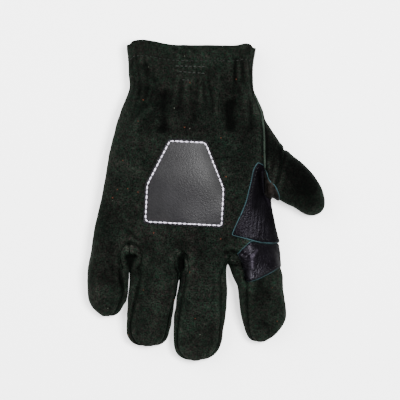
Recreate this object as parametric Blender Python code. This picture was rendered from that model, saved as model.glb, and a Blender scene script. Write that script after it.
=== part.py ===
"""Right-hand leather work glove with a smooth leather overlay, lying palm down with its back up.

Metres, +Z up. The fingers point to -Y, the cuff to +Y and the thumb to +X. The origin is on the
surface that the glove rests on, under the middle of the palm.
"""

import math
from collections import namedtuple

import bmesh
import bpy
import numpy as np

# Body of the glove, from the edge of the cuff to the crotches between the fingers
CUFF_WIDTH = 0.1008
WRIST_WIDTH = 0.0970
PALM_WIDTH = 0.1270
KNUCKLE_WIDTH = 0.1490
BODY_LENGTH = 0.1640
CUFF_TO_ORIGIN = 0.1120
CUFF_HEIGHT = 0.0290
PALM_HEIGHT = 0.0350
KNUCKLE_HEIGHT = 0.0300

# Stalls of the fingers and the thumb
LITTLE_LENGTH = 0.0488
LITTLE_WIDTH = 0.0316
RING_LENGTH = 0.0699
RING_WIDTH = 0.0383
MIDDLE_LENGTH = 0.0789
MIDDLE_WIDTH = 0.0394
INDEX_LENGTH = 0.0629
INDEX_WIDTH = 0.0367
FINGER_HEIGHT = 0.0225
FINGER_SPACE = 0.0008  # least room between two stalls that lie side by side
CROTCH_TOP = 0.74  # heights of a crotch's upper and lower corner, in FINGER_HEIGHTs
CROTCH_LOW = 0.36
THUMB_LENGTH = 0.0452
THUMB_WIDTH = 0.0313
THUMB_HEIGHT = 0.0250

# Leathers, seams and trim
SUEDE_WALL = 0.0018
OVERLAY_WALL = 0.0012
BADGE_WALL = 0.0012
HEM_WALL = 0.0015
HEM_DEPTH = 0.0120
SEAM_GAP = 0.0003
SEAM_TRIM = 0.0002  # how far each sheet's border is drawn in from its seam, outside
INNER_TRIM = 0.0004  # and inside
WELT_SIDES = 8
WELT_RADIUS = 0.0008

# Badge on the back: a house-shaped plate, its narrow end towards the cuff
BADGE_WIDTH = 0.0625
BADGE_LENGTH = 0.0664
BADGE_TOP_WIDTH = 0.0295
BADGE_SIDE_LENGTH = 0.0305
BADGE_CORNER = 0.0030
BADGE_TURN = -3.0  # degrees

# Mesh density: spaces across one finger, down one side strip, and along each piece
FINGER_COLUMNS = 5
SIDE_COLUMNS = 4
STALL_ROWS = 6
CAP_ROWS = 4
THENAR_ROWS = 2
WELT_ROWS = 8
HEM_ROWS = 2

# Where the side strips begin: angles of a body section's corners, from the thumb side upwards
SIDE_ANGLE = math.radians(15)
BODY_POWER = 2.3
STALL_POWER = 2.4
FLAT_SHARE = 1.25  # the underside would reach this much lower if the surface didn't flatten it
REST = OVERLAY_WALL + SEAM_GAP  # height of the suede above the surface, under the palm

PIECES = (
    "back_panel",
    "palm_panel",
    "fourchette_little_ring",
    "fourchette_ring_middle",
    "fourchette_middle_index",
    "thumb",
)
BACK, PALM, LITTLE_RING, RING_MIDDLE, MIDDLE_INDEX, THUMB = range(len(PIECES))

# One row for each cross-section of the body: its place along BODY_LENGTH, how far its middle
# lies towards the thumb in PALM_WIDTHs, its width and its height.
BodySection = namedtuple("BodySection", "along centre width height")
BODY_SECTIONS = (
    BodySection(0.000, 0.040, 1.000 * CUFF_WIDTH, 1.00 * CUFF_HEIGHT),
    BodySection(0.064, 0.037, 1.010 * WRIST_WIDTH, 0.96 * CUFF_HEIGHT),
    BodySection(0.140, 0.037, 1.000 * WRIST_WIDTH, 0.93 * CUFF_HEIGHT),
    BodySection(0.211, 0.041, 1.008 * WRIST_WIDTH, 0.96 * CUFF_HEIGHT),
    BodySection(0.264, 0.042, 0.825 * PALM_WIDTH, 0.86 * PALM_HEIGHT),
    BodySection(0.322, 0.041, 0.880 * PALM_WIDTH, 0.92 * PALM_HEIGHT),
    BodySection(0.407, 0.033, 0.928 * PALM_WIDTH, 0.97 * PALM_HEIGHT),
    BodySection(0.521, 0.017, 0.966 * PALM_WIDTH, 1.00 * PALM_HEIGHT),
    BodySection(0.636, 0.009, 1.000 * PALM_WIDTH, 1.00 * PALM_HEIGHT),
    BodySection(0.750, 0.003, 0.886 * KNUCKLE_WIDTH, 1.10 * KNUCKLE_HEIGHT),
    BodySection(0.864, 0.001, 0.942 * KNUCKLE_WIDTH, 1.06 * KNUCKLE_HEIGHT),
    BodySection(1.000, 0.002, 0.994 * KNUCKLE_WIDTH, 1.00 * KNUCKLE_HEIGHT),
)

# The crotches, and the outer corners at both ends: shares of KNUCKLE_WIDTH from the little
# finger's edge and of BODY_LENGTH past the body's end, and how far the strip between two stalls
# bulges towards their tips, in FINGER_HEIGHTs.
Crotch = namedtuple("Crotch", "across past bulge")
CROTCHES = (
    Crotch(0.000, -0.022, 0.00),
    Crotch(0.195, -0.010, 0.62),
    Crotch(0.479, 0.014, 0.70),
    Crotch(0.727, 0.024, 0.06),
    Crotch(1.000, 0.012, 0.00),
)

# A stall's seams: angles of its section's four corners in degrees, from the thumb side upwards.
Stall = namedtuple("Stall", "length width cap_start cap_power seams stations")
# A stall's stations: share of its length, its middle towards the thumb and its width in shares
# of the stall's width, and its height in FINGER_HEIGHTs.
Station = namedtuple("Station", "along centre width height")
STALLS = (
    Stall(
        LITTLE_LENGTH, LITTLE_WIDTH, 0.50, 2.1, (64, 165, 195, 315),
        (
            Station(0.00, 0.000, 0.975, 1.16),
            Station(0.18, -0.050, 1.020, 1.06),
            Station(0.37, -0.067, 1.030, 0.98),
            Station(0.56, -0.074, 1.010, 0.92),
            Station(0.75, -0.110, 1.000, 0.87),
            Station(1.00, -0.100, 1.000, 0.80),
        ),
    ),
    Stall(
        RING_LENGTH, RING_WIDTH, 0.73, 2.6, (42, 116, 225, 315),
        (
            Station(0.00, 0.000, 1.040, 1.20),
            Station(0.16, -0.020, 0.995, 1.08),
            Station(0.36, -0.055, 0.995, 1.00),
            Station(0.56, -0.100, 0.945, 0.98),
            Station(0.70, -0.130, 0.915, 0.95),
            Station(0.82, -0.150, 0.900, 0.92),
            Station(1.00, -0.140, 0.885, 0.86),
        ),
    ),
    Stall(
        MIDDLE_LENGTH, MIDDLE_WIDTH, 0.77, 2.2, (48, 128, 225, 315),
        (
            Station(0.00, 0.000, 0.900, 1.24),
            Station(0.12, -0.025, 0.900, 1.14),
            Station(0.33, -0.050, 0.970, 1.05),
            Station(0.45, -0.079, 0.990, 1.03),
            Station(0.57, -0.100, 0.990, 1.01),
            Station(0.69, -0.129, 0.970, 0.99),
            Station(0.81, -0.139, 0.950, 0.96),
            Station(1.00, -0.168, 0.950, 0.88),
        ),
    ),
    Stall(
        INDEX_LENGTH, INDEX_WIDTH, 0.62, 2.0, (15, 115, 225, 345),
        (
            Station(0.00, 0.000, 1.128, 1.22),
            Station(0.10, 0.060, 1.095, 1.14),
            Station(0.20, 0.118, 1.060, 1.08),
            Station(0.28, 0.160, 0.995, 1.05),
            Station(0.42, 0.190, 0.965, 1.00),
            Station(0.57, 0.222, 0.965, 0.98),
            Station(0.72, 0.248, 0.945, 0.95),
            Station(0.87, 0.215, 0.930, 0.91),
            Station(1.00, 0.150, 0.960, 0.86),
        ),
    ),
)
# The stalls curl: height of the underside in FINGER_HEIGHTs at shares of a stall's length.
CURL = ((0.00, 0.06), (0.30, 0.20), (0.60, 0.13), (0.85, -0.05), (1.00, -0.02))

# The thumb leaves the body's side between two shares of its length. Its root lies this many
# PALM_WIDTHs towards the thumb and BODY_LENGTHs from the cuff.
THUMB_OPENING = (0.340, 0.716)
THUMB_OPENING_COLUMNS = 1
THUMB_ROOT = (0.578, 0.601)
# Its stations follow its own middle line: place along it, way out and way down in THUMB_LENGTHs,
# the way it faces in degrees, its width, its height and its lift off the surface.
ThumbStation = namedtuple("ThumbStation", "share out down turn width height lift")
THUMB_STATIONS = (
    ThumbStation(0.000, 0.000, 0.000, -17.0, 1.190, 1.00, 0.10),
    ThumbStation(0.235, 0.192, 0.137, -25.0, 1.110, 0.98, 0.08),
    ThumbStation(0.453, 0.356, 0.280, -41.0, 1.000, 0.96, 0.04),
    ThumbStation(0.680, 0.521, 0.436, -45.0, 0.840, 0.92, 0.00),
    ThumbStation(0.834, 0.616, 0.557, -46.0, 0.765, 0.87, -0.02),
    ThumbStation(1.000, 0.728, 0.678, -47.0, 0.720, 0.80, 0.00),
)
THUMB_CAP_START = 0.62

# Shares of the body where each run of rows ends, and how many rows the run has.
BODY_RUNS = (
    (HEM_DEPTH / BODY_LENGTH, HEM_ROWS),
    (THUMB_OPENING[0], 6),
    (THUMB_OPENING[1], 8),
    (1.0, 6),
)

# Folds and dents of the back: each runs between two places, given in PALM_WIDTHs towards the
# thumb and in BODY_LENGTHs from the cuff. Its reach is in PALM_WIDTHs, its depth in metres.
Fold = namedtuple("Fold", "across along across_end along_end reach depth")
FOLDS = (
    Fold(-0.246, 0.106, -0.185, 0.173, 0.030, 0.0012),
    Fold(-0.126, 0.235, -0.126, 0.392, 0.040, 0.0018),
    Fold(0.018, 0.178, 0.018, 0.292, 0.028, -0.0009),
    Fold(0.068, 0.180, 0.062, 0.349, 0.025, 0.0011),
    Fold(0.197, 0.149, 0.197, 0.311, 0.032, -0.0010),
    Fold(0.272, 0.280, 0.283, 0.378, 0.040, 0.0028),
    Fold(0.363, 0.206, 0.363, 0.373, 0.030, -0.0008),
    Fold(-0.246, 0.325, -0.308, 0.392, 0.030, -0.0010),
    Fold(0.170, 0.905, 0.235, 0.900, 0.070, 0.0014),
    Fold(-0.060, 0.930, -0.050, 0.990, 0.060, 0.0010),
)

# The cuff's edge: humps at shares of the cuff's width, their reach and height in metres.
EDGE_HUMPS = ((0.09, 0.18, 0.0046), (0.95, 0.06, 0.0018))

# Outlines of the pieces laid on the suede: shares of PALM_WIDTH towards the thumb and of
# BODY_LENGTH from the cuff, going round clockwise as seen from above.
Corner = namedtuple("Corner", "across along")
SADDLE_EDGE = (
    Corner(0.288, 0.895),
    Corner(0.407, 0.626),
    Corner(0.443, 0.552),
    Corner(0.483, 0.569),
)
SADDLE_HEM = (
    Corner(0.572, 0.935),
    Corner(0.431, 0.927),
    Corner(0.288, 0.895),
)
INDEX_EDGE = (
    Corner(0.591, 1.050),
    Corner(0.391, 1.119),
    Corner(0.320, 0.985),
    Corner(0.400, 0.923),
)
TAB_EDGE = (
    Corner(0.498, 0.616),
    Corner(0.541, 0.654),
    Corner(0.581, 0.699),
    Corner(0.572, 0.735),
    Corner(0.536, 0.735),
    Corner(0.506, 0.610),
)
PALM_EDGE = (
    Corner(-0.330, 0.900),
    Corner(-0.300, 0.420),
    Corner(0.300, 0.380),
    Corner(0.400, 0.620),
    Corner(0.430, 0.930),
    Corner(0.050, 0.960),
    Corner(-0.330, 0.900),
)
WELT_SPAN = (0.225, 0.556)
BADGE_PLACE = Corner(0.002, 0.6445)


def smooth_curve(knots, values, at):
    """Cubic Hermite curve through the knots, sloping at each as its neighbours do."""
    knots = np.asarray(knots, float)
    values = np.asarray(values, float)
    slopes = np.gradient(values, knots)
    i = np.clip(np.searchsorted(knots, at, side="right") - 1, 0, len(knots) - 2)
    span = knots[i + 1] - knots[i]
    t = (at - knots[i]) / span
    rise = t * t * (3 - 2 * t)
    return (
        values[i] * (1 - rise) + values[i + 1] * rise
        + span * (slopes[i] * t * (1 - t) ** 2 - slopes[i + 1] * t * t * (1 - t))
    )


def ease(t):
    """Smooth step from 0 to 1."""
    t = np.clip(t, 0.0, 1.0)
    return t * t * (3 - 2 * t)


def oval(angle, power):
    """Superellipse of half-width and half-height 1 at these angles."""
    c, s = np.cos(angle), np.sin(angle)
    return (
        np.sign(c) * np.abs(c) ** (2 / power),
        np.sign(s) * np.abs(s) ** (2 / power),
    )


def column_shares(v):
    """Where the columns lie across a body row: even at the cuff, bunched at the crotches."""
    ends = np.array([c.across for c in CROTCHES])
    even = np.linspace(0, 1, FINGER_COLUMNS + 1)
    bunched = (1 - oval(np.pi * even, STALL_POWER)[0]) / 2
    inner = even + (bunched - even) * ease((v - 0.55) / 0.45)
    start, step = ends[:-1, None], np.diff(ends)[:, None]
    return np.append((start + step * inner[None, :-1]).ravel(), 1.0)


def body_values(v):
    """Middle, half-width and height of the body at share v of its length."""
    along = [s.along for s in BODY_SECTIONS]
    centre = PALM_WIDTH * smooth_curve(along, [s.centre for s in BODY_SECTIONS], v)
    half = smooth_curve(along, [s.width for s in BODY_SECTIONS], v) / 2
    height = smooth_curve(along, [s.height for s in BODY_SECTIONS], v)
    return centre, half, height


def back_relief(x, v):
    """How much the back sinks at these points, for all the folds together."""
    depth = np.zeros_like(x)
    for fold in FOLDS:
        start = np.array([PALM_WIDTH * fold.across, BODY_LENGTH * fold.along])
        run = np.array([PALM_WIDTH * fold.across_end, BODY_LENGTH * fold.along_end]) - start
        dx, dy = x - start[0], BODY_LENGTH * v - start[1]
        t = np.clip((dx * run[0] + dy * run[1]) / (run @ run + 1e-12), 0, 1)
        apart = np.hypot(dx - t * run[0], dy - t * run[1])
        depth += fold.depth * np.exp(-((apart / (PALM_WIDTH * fold.reach)) ** 2))
    return depth


def body_row(v):
    """Points of one body section: the back, the underside and both side strips."""
    centre, half, height = body_values(v)
    middle, rise = (height + REST) / 2, (height - REST) / 2
    side = oval(SIDE_ANGLE, BODY_POWER)[0]
    across = column_shares(v)
    share = side * (2 * across - 1)
    swell = (1 - np.abs(share) ** BODY_POWER) ** (1 / BODY_POWER)
    x = centre + half * share
    back = np.stack([x, np.zeros_like(x), middle + rise * swell], 1)
    under = np.stack([x, np.zeros_like(x), middle - FLAT_SHARE * rise * swell], 1)
    back[:, 2] -= back_relief(x, v)
    strips = []
    for first, last in ((np.pi - SIDE_ANGLE, np.pi + SIDE_ANGLE), (SIDE_ANGLE, -SIDE_ANGLE)):
        cx, cz = oval(np.linspace(first, last, SIDE_COLUMNS + 1), BODY_POWER)
        low = np.where(cz < 0, FLAT_SHARE, 1.0)
        strips.append(
            np.stack([centre + half * cx, np.zeros_like(cx), middle + rise * low * cz], 1)
        )
    return back, under, strips[0], strips[1]


def edge_rise(across):
    """How far the cuff's edge stands past its straight line at a share of its width."""
    return sum(
        tall * np.exp(-(((across - place) / reach) ** 2)) for place, reach, tall in EDGE_HUMPS
    )


def row_place(v, across):
    """Y of the body at share v: straight at the cuff and along the crotches at the end."""
    share = [c.across for c in CROTCHES]
    past = BODY_LENGTH * smooth_curve(share, [c.past for c in CROTCHES], across)
    start = CUFF_TO_ORIGIN + edge_rise(across) * (1 - ease(v / 0.5))
    return start - BODY_LENGTH * v - past * ease((v - 0.3) / 0.7)


def stall_rows(stall):
    """Shares of a stall's length for its rows, closer together round the tip."""
    straight = np.linspace(0, stall.cap_start, STALL_ROWS + 1)
    turn = np.sin(np.linspace(0, np.pi / 2, CAP_ROWS + 1))
    return np.append(straight[:-1], stall.cap_start + (1 - stall.cap_start) * turn)


def stall_ring(stall, base_x, t):
    """One section of a stall at share t: its back, thumb side, underside and little side."""
    along = [s.along for s in stall.stations]
    centre = base_x + stall.width * smooth_curve(along, [s.centre for s in stall.stations], t)
    half = stall.width * smooth_curve(along, [s.width for s in stall.stations], t) / 2
    tall = FINGER_HEIGHT * smooth_curve(along, [s.height for s in stall.stations], t)
    low = FINGER_HEIGHT * smooth_curve([c[0] for c in CURL], [c[1] for c in CURL], t)
    cap = np.clip((t - stall.cap_start) / (1 - stall.cap_start), 0, 1)
    half = half * (1 - cap**stall.cap_power) ** (1 / stall.cap_power)
    rounding = (1 - cap**2.6) ** (1 / 2.6)
    narrow = 1 - 0.45 * ease(t)
    top_right, top_left, low_left, low_right = np.radians(stall.seams)
    top_right, low_right = top_right * narrow, 2 * np.pi - (2 * np.pi - low_right) * narrow
    top_left = np.pi - (np.pi - top_left) * narrow
    low_left = np.pi + (low_left - np.pi) * narrow
    sides = []
    for first, last, count in (
        (top_left, top_right, FINGER_COLUMNS),
        (top_right, low_right - 2 * np.pi, SIDE_COLUMNS),
        (low_left, low_right, FINGER_COLUMNS),
        (top_left, low_left, SIDE_COLUMNS),
    ):
        cx, cz = oval(np.linspace(first, last, count + 1), STALL_POWER)
        z = low + tall / 2 * (1 + rounding * cz)
        sides.append(np.stack([centre + half * cx, np.zeros_like(cx), z], 1))
    return sides


class Skin:
    """The outside of the glove: numbered points, and faces that know their leather piece."""

    def __init__(self):
        self.points = []
        self.faces = []
        self.pieces = []
        self.keys = []

    def add(self, points):
        first = len(self.points)
        self.points.extend(np.asarray(points, float).reshape(-1, 3))
        return np.arange(first, len(self.points)).reshape(np.shape(points)[:-1])

    def grid(self, index, piece, region, closed=lambda r, c: True):
        """Triangles between the rows and columns of point numbers, where the grid is closed."""
        cells = [(r, c) for r in range(len(index) - 1) for c in range(index.shape[1] - 1)]
        for r, c in cells:
            corners = [int(i) for i in (*index[r, c : c + 2], *index[r + 1, c : c + 2][::-1])]
            for tri in (corners[:3], (corners[0], corners[2], corners[3])):
                if closed(r, c) and len(set(tri)) == 3:
                    self.faces.append(tuple(tri))
                    self.pieces.append(piece)
                    self.keys.append(region(r, c))


def rest_level(y):
    """Lowest place of the suede: above the overlay under the palm, and on the surface beyond."""
    start = CUFF_TO_ORIGIN - BODY_LENGTH
    return REST * (1 - ease((start - y) / (0.35 * RING_LENGTH)))


def body_shares():
    """Shares of the body's length for its rows, and the rows that bound the thumb's opening."""
    shares, ends = [0.0], []
    for end, count in BODY_RUNS:
        shares.extend(np.linspace(shares[-1], end, count + 1)[1:])
        ends.append(len(shares) - 1)
    return np.array(shares), ends[1], ends[2]


def crotch_points(back_row, under_row):
    """The upper and lower corner of each crotch, and of both ends of the body's last row."""
    upper = back_row[::FINGER_COLUMNS].copy()
    lower = under_row[::FINGER_COLUMNS].copy()
    upper[1:-1, 2] = CROTCH_TOP * FINGER_HEIGHT
    lower[1:-1, 2] = CROTCH_LOW * FINGER_HEIGHT
    return upper, lower


def arches(row, corners, levels):
    """The last row's heights as one arch for each stall, from crotch to crotch."""
    across, rise = oval(np.linspace(np.pi, 0, FINGER_COLUMNS + 1), STALL_POWER)
    share = (1 + across) / 2
    heights = row[:, 2].copy()
    for i, level in enumerate(levels):
        line = corners[i][2] * (1 - share) + corners[i + 1][2] * share
        span = slice(i * FINGER_COLUMNS, (i + 1) * FINGER_COLUMNS + 1)
        heights[span] = line + (level - line) * rise
    return heights


def build_skin():
    """Lays out the points of body, stalls and thumb, and joins them into one outside."""
    skin = Skin()
    k, m = FINGER_COLUMNS, SIDE_COLUMNS
    shares, first, last = body_shares()
    back, under, left, right = (np.array(side) for side in zip(*(body_row(v) for v in shares)))
    for j, v in enumerate(shares):
        back[j, :, 1] = under[j, :, 1] = row_place(v, column_shares(v))
        left[j, :, 1], right[j, :, 1] = row_place(v, 0.0), row_place(v, 1.0)

    upper, lower = crotch_points(back[-1], under[-1])
    crests = [FINGER_HEIGHT * (stall.stations[0].height + CURL[0][1]) for stall in STALLS]
    sink = np.clip((shares - 0.80) / 0.20, 0, 1)[:, None] ** 2
    back[:, :, 2] += (arches(back[-1], upper, crests) - back[:, :, 2]) * sink
    floors = [0.5 * REST] * len(STALLS)
    under[:, :, 2] += (arches(under[-1], lower, floors) - under[:, :, 2]) * sink

    back_ids, under_ids = skin.add(back), skin.add(under)
    left_ids, right_ids = (
        np.column_stack([back_ids[:, edge], skin.add(side[:, 1:-1]), under_ids[:, edge]])
        for edge, side in ((0, left), (-1, right))
    )
    inner = 4 * k - THUMB_OPENING_COLUMNS
    for ids, piece, name, closed in (
        (back_ids, BACK, "body back", lambda r, c: True),
        (left_ids, BACK, "body left", lambda r, c: True),
        (under_ids, PALM, "body under", lambda r, c: not first <= r < last or c < inner),
        (right_ids, PALM, "body right", lambda r, c: not first <= r < last),
    ):
        skin.grid(ids, piece, lambda r, c: "cuff" if r < HEM_ROWS else name, closed)
    add_stalls(skin, back_ids, under_ids, left_ids[-1], right_ids[-1])
    add_thumb(skin, under_ids, right_ids, first, last)

    points = np.array(skin.points)
    points[:, 2] = np.maximum(points[:, 2], rest_level(points[:, 1]))
    skin.points = points
    skin.ridge = back_ids[:, -1]
    skin.shares = shares
    return skin


def crotch_strip(top, low, bulge):
    """Points down a crotch from the back to the palm, bulging towards the fingertips."""
    w = np.linspace(0, 1, SIDE_COLUMNS + 1)[1:-1, None]
    strip = top * (1 - w) + low * w
    strip[:, 1] -= bulge * FINGER_HEIGHT * np.sin(np.pi * w[:, 0]) ** 0.8
    return strip


def add_stalls(skin, back_ids, under_ids, left_end, right_end):
    """Grows the four finger stalls from the body's last row."""
    k = FINGER_COLUMNS
    webs = [left_end]
    for i in range(1, len(CROTCHES) - 1):
        top, low = back_ids[-1, i * k], under_ids[-1, i * k]
        strip = crotch_strip(skin.points[top], skin.points[low], CROTCHES[i].bulge)
        webs.append(np.concatenate([[top], skin.add(strip), [low]]))
    webs.append(right_end)
    bases = [skin.points[back_ids[-1, i * k]][0] for i in range(len(CROTCHES))]
    bases = [(a + b) / 2 for a, b in zip(bases[:-1], bases[1:])]
    gussets = (BACK, LITTLE_RING, RING_MIDDLE, MIDDLE_INDEX, PALM)
    names = ("little", "ring", "middle", "index")
    for i, stall in enumerate(STALLS):
        span = slice(i * k, i * k + k + 1)
        first = (back_ids[-1, span], webs[i + 1], under_ids[-1, span], webs[i])
        base = [np.array([skin.points[j] for j in ids]) for ids in first]
        grids = [[ids] for ids in first]
        base_y = (base[0][0, 1] + base[0][-1, 1]) / 2
        for t in stall_rows(stall)[1:-1]:
            part = ease(t / 0.22 + 0.25)
            sides = []
            for pure, start in zip(stall_ring(stall, bases[i], t), base):
                side = start * (1 - part) + pure * part
                side[:, 1] = start[:, 1] * (1 - t) + (base_y - stall.length) * t
                sides.append(side)
            limit_sides(sides, i, bases)
            back_row, thumb_row = skin.add(sides[0]), skin.add(sides[1][1:-1])
            under_row, little_row = skin.add(sides[2]), skin.add(sides[3][1:-1])
            thumb_row = np.concatenate([[back_row[-1]], thumb_row, [under_row[-1]]])
            little_row = np.concatenate([[back_row[0]], little_row, [under_row[0]]])
            for grid, row in zip(grids, (back_row, thumb_row, under_row, little_row)):
                grid.append(row)
        tip = stall_ring(stall, bases[i], 1.0)[0].mean(0)
        tip[1] = base_y - stall.length
        pole = skin.add(tip[None])[0]
        for grid, piece, side in zip(
            grids,
            (BACK, gussets[i + 1], PALM, gussets[i]),
            ("back", "thumb side", "under", "little side"),
        ):
            grid.append(np.full(len(grid[0]), pole))
            skin.grid(np.array(grid), piece, lambda r, c: f"{names[i]} {side}")


def limit_sides(sides, i, bases):
    """Keeps a stall on its own side of the crotches, so that neighbours don't meet."""
    for crotch, way in ((i, 1), (i + 1, -1)):
        if 0 < crotch < len(CROTCHES) - 1:
            wall = crotch_line(crotch, bases, sides[0][:, 1].mean())
            for points in sides:
                inside = way * (points[:, 0] - wall)
                points[:, 0] += way * np.maximum(FINGER_SPACE / 2 - inside, 0)


def crotch_line(crotch, bases, y):
    """X of the line between two neighbouring stalls at this Y."""
    sides = []
    for stall, base, sign in zip(STALLS[crotch - 1 :], bases[crotch - 1 :], (1, -1)):
        t = np.clip((CUFF_TO_ORIGIN - BODY_LENGTH - y) / stall.length, 0, 1)
        along = [s.along for s in stall.stations]
        centre = smooth_curve(along, [s.centre for s in stall.stations], t)
        width = smooth_curve(along, [s.width for s in stall.stations], t)
        sides.append(base + stall.width * (centre + sign * width / 2))
    return sum(sides) / 2


def thumb_ring(t, columns, rows):
    """One section of the thumb stall: its points in the order of the opening's edge."""
    shares = [s.share for s in THUMB_STATIONS]
    out, down, turn, width, height, lift = (
        smooth_curve(shares, [station[n] for station in THUMB_STATIONS], t) for n in range(1, 7)
    )
    cap = np.clip((t - THUMB_CAP_START) / (1 - THUMB_CAP_START), 0, 1)
    half = THUMB_WIDTH * width / 2 * (1 - cap**2.2) ** (1 / 2.2)
    tall = THUMB_HEIGHT * height
    rounding = (1 - cap**2.6) ** (1 / 2.6)
    # The way across the thumb points from its outer edge to the crotch beside the index finger.
    turn = math.radians(turn)
    side = np.array([math.sin(turn), -math.cos(turn), 0.0])
    corners = np.radians([135, 45, -45, -135, -225])
    runs = zip(corners[:-1], corners[1:], (rows, columns, rows, columns))
    angles = np.concatenate([np.linspace(a, b, n + 1)[:-1] for a, b, n in runs])
    cx, cz = oval(angles, STALL_POWER)
    root = place_of(Corner(*THUMB_ROOT))
    middle = (root[0] + THUMB_LENGTH * out, root[1] - THUMB_LENGTH * down)
    ring = np.array([*middle, THUMB_HEIGHT * lift + tall / 2]) + np.outer(half * cx, side)
    ring[:, 2] += tall / 2 * rounding * cz
    return ring


def add_thumb(skin, under_ids, right_ids, first, last):
    """Grows the thumb from the opening in the body's side."""
    inner = 4 * FINGER_COLUMNS - THUMB_OPENING_COLUMNS
    loop = np.concatenate(
        [
            right_ids[first : last + 1, 0],
            right_ids[last, 1:],
            under_ids[last, inner:-1][::-1],
            under_ids[first:last, inner][::-1],
            under_ids[first, inner + 1 :],
            right_ids[first, 1:-1][::-1],
        ]
    )
    rows, columns = last - first, SIDE_COLUMNS + THUMB_OPENING_COLUMNS
    opening = np.array([skin.points[i] for i in loop])
    root = thumb_ring(0.0, columns, rows)
    gusset = [loop]
    for e in np.linspace(0, 1, THENAR_ROWS + 1)[1:]:
        gusset.append(skin.add(opening * (1 - e) + root * e))
    stall = [gusset[-1]]
    straight = np.linspace(0, THUMB_CAP_START, STALL_ROWS)
    turn = np.sin(np.linspace(0, np.pi / 2, CAP_ROWS + 1))
    for t in np.append(straight[1:-1], THUMB_CAP_START + (1 - THUMB_CAP_START) * turn[:-1]):
        stall.append(skin.add(thumb_ring(t, columns, rows)))
    pole = skin.add(thumb_ring(1.0, columns, rows).mean(0)[None])[0]
    stall.append(np.full(len(loop), pole))
    for rings, piece, name in ((gusset, PALM, "gusset"), (stall, THUMB, "thumb")):
        rings = np.array(rings)
        skin.grid(np.column_stack([rings, rings[:, 0]]), piece, lambda r, c: name)


def turn_outward(skin):
    """Turns the skin's faces to point out, and works out its normal at each point."""
    mesh = bmesh.new()
    verts = [mesh.verts.new(p) for p in skin.points]
    faces = [mesh.faces.new([verts[i] for i in face]) for face in skin.faces]
    mesh.verts.index_update()
    bmesh.ops.recalc_face_normals(mesh, faces=faces)
    mesh.normal_update()
    skin.faces = [tuple(v.index for v in face.verts) for face in faces]
    skin.normals = np.array([v.normal for v in verts])
    mesh.free()


def border_of(faces):
    """Edges that only one of the faces uses, each the way that its face runs."""
    edges = {(f[i], f[(i + 1) % 3]): None for f in faces for i in range(3)}
    return [(a, b) for a, b in edges if (b, a) not in edges]


def drawn_in(points, normals, border, distance):
    """The points with the border moved inwards along the sheet by this distance."""
    inward = np.zeros_like(points)
    for a, b in border:
        way = np.cross(normals[a] + normals[b], points[b] - points[a])
        way /= max(np.linalg.norm(way), 1e-12)
        inward[a] += way
        inward[b] += way
    size = np.linalg.norm(inward, axis=1, keepdims=True)
    reach = distance * np.minimum(2 / np.maximum(size, 1e-9), 1.5)
    return points + inward / np.maximum(size, 1e-9) * np.where(size > 0, reach, 0)


def add_mesh(name, points, faces, material):
    """A smooth-shaded object with this mesh."""
    mesh = bpy.data.meshes.new(name)
    mesh.from_pydata(np.asarray(points).tolist(), [], faces)
    mesh.shade_smooth()
    mesh.set_sharp_from_angle(angle=math.radians(50))
    mesh.materials.append(material)
    bpy.context.scene.collection.objects.link(bpy.data.objects.new(name, mesh))


def walled(name, points, normals, faces, outer, wall, trims, material):
    """A sheet as a solid: the faces moved out along the normals by outer, and a wall under them.

    Its border is drawn in by the two trims, outside and inside, and so stays clear of the sheets
    that it is sewn to."""
    border = border_of(faces)
    used = sorted({i for face in faces for i in face})
    number = {i: j for j, i in enumerate(used)}
    high, low = (drawn_in(points, normals, border, trim)[used] for trim in trims)
    high += normals[used] * outer
    low += normals[used] * (outer - wall)
    count = len(used)
    solid = [tuple(number[i] for i in face) for face in faces]
    solid += [tuple(count + i for i in face[::-1]) for face in solid]
    for a, b in border:
        a, b = number[a], number[b]
        solid += [(b, a, a + count), (b, a + count, b + count)]
    add_mesh(name, np.concatenate([high, low]), solid, material)


def place_of(corner):
    """X and Y of a corner given in shares of the palm's width and the body's length."""
    return np.array([PALM_WIDTH * corner.across, CUFF_TO_ORIGIN - BODY_LENGTH * corner.along])


def fence(places, shift=0.0):
    """Upright planes through neighbouring places, taken clockwise, moved out by shift."""
    planes = []
    for a, b in zip(places[:-1], places[1:]):
        run = (b - a) / np.linalg.norm(b - a)
        out = np.array([-run[1], run[0]])
        planes.append((a + out * shift, out))
    return planes


def laid_sheet(name, skin, regions, planes, wall, material):
    """A sheet laid on these regions of the skin, without what lies outside the planes."""
    faces = [face for face, key in zip(skin.faces, skin.keys) if key in regions]
    mesh = bmesh.new()
    layer = mesh.verts.layers.float_vector.new("normal")
    verts = {}
    for i in sorted({i for face in faces for i in face}):
        verts[i] = mesh.verts.new(skin.points[i])
        verts[i][layer] = skin.normals[i]
    for face in faces:
        mesh.faces.new([verts[i] for i in face])
    for place, out in planes:
        bmesh.ops.bisect_plane(
            mesh,
            geom=mesh.verts[:] + mesh.edges[:] + mesh.faces[:],
            dist=1e-4,
            plane_co=(*place, 0.0),
            plane_no=(*out, 0.0),
            clear_outer=True,
        )
    bmesh.ops.triangulate(mesh, faces=mesh.faces[:])
    bmesh.ops.remove_doubles(mesh, verts=mesh.verts[:], dist=1e-4)
    bmesh.ops.delete(mesh, geom=[v for v in mesh.verts if not v.link_faces], context="VERTS")
    mesh.verts.index_update()
    points = np.array([v.co for v in mesh.verts])
    normals = np.array([v[layer].normalized() for v in mesh.verts])
    faces = [tuple(v.index for v in face.verts) for face in mesh.faces]
    mesh.free()
    walled(name, points, normals, faces, SEAM_GAP + wall, wall, (0.0, 0.0), material)


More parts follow.
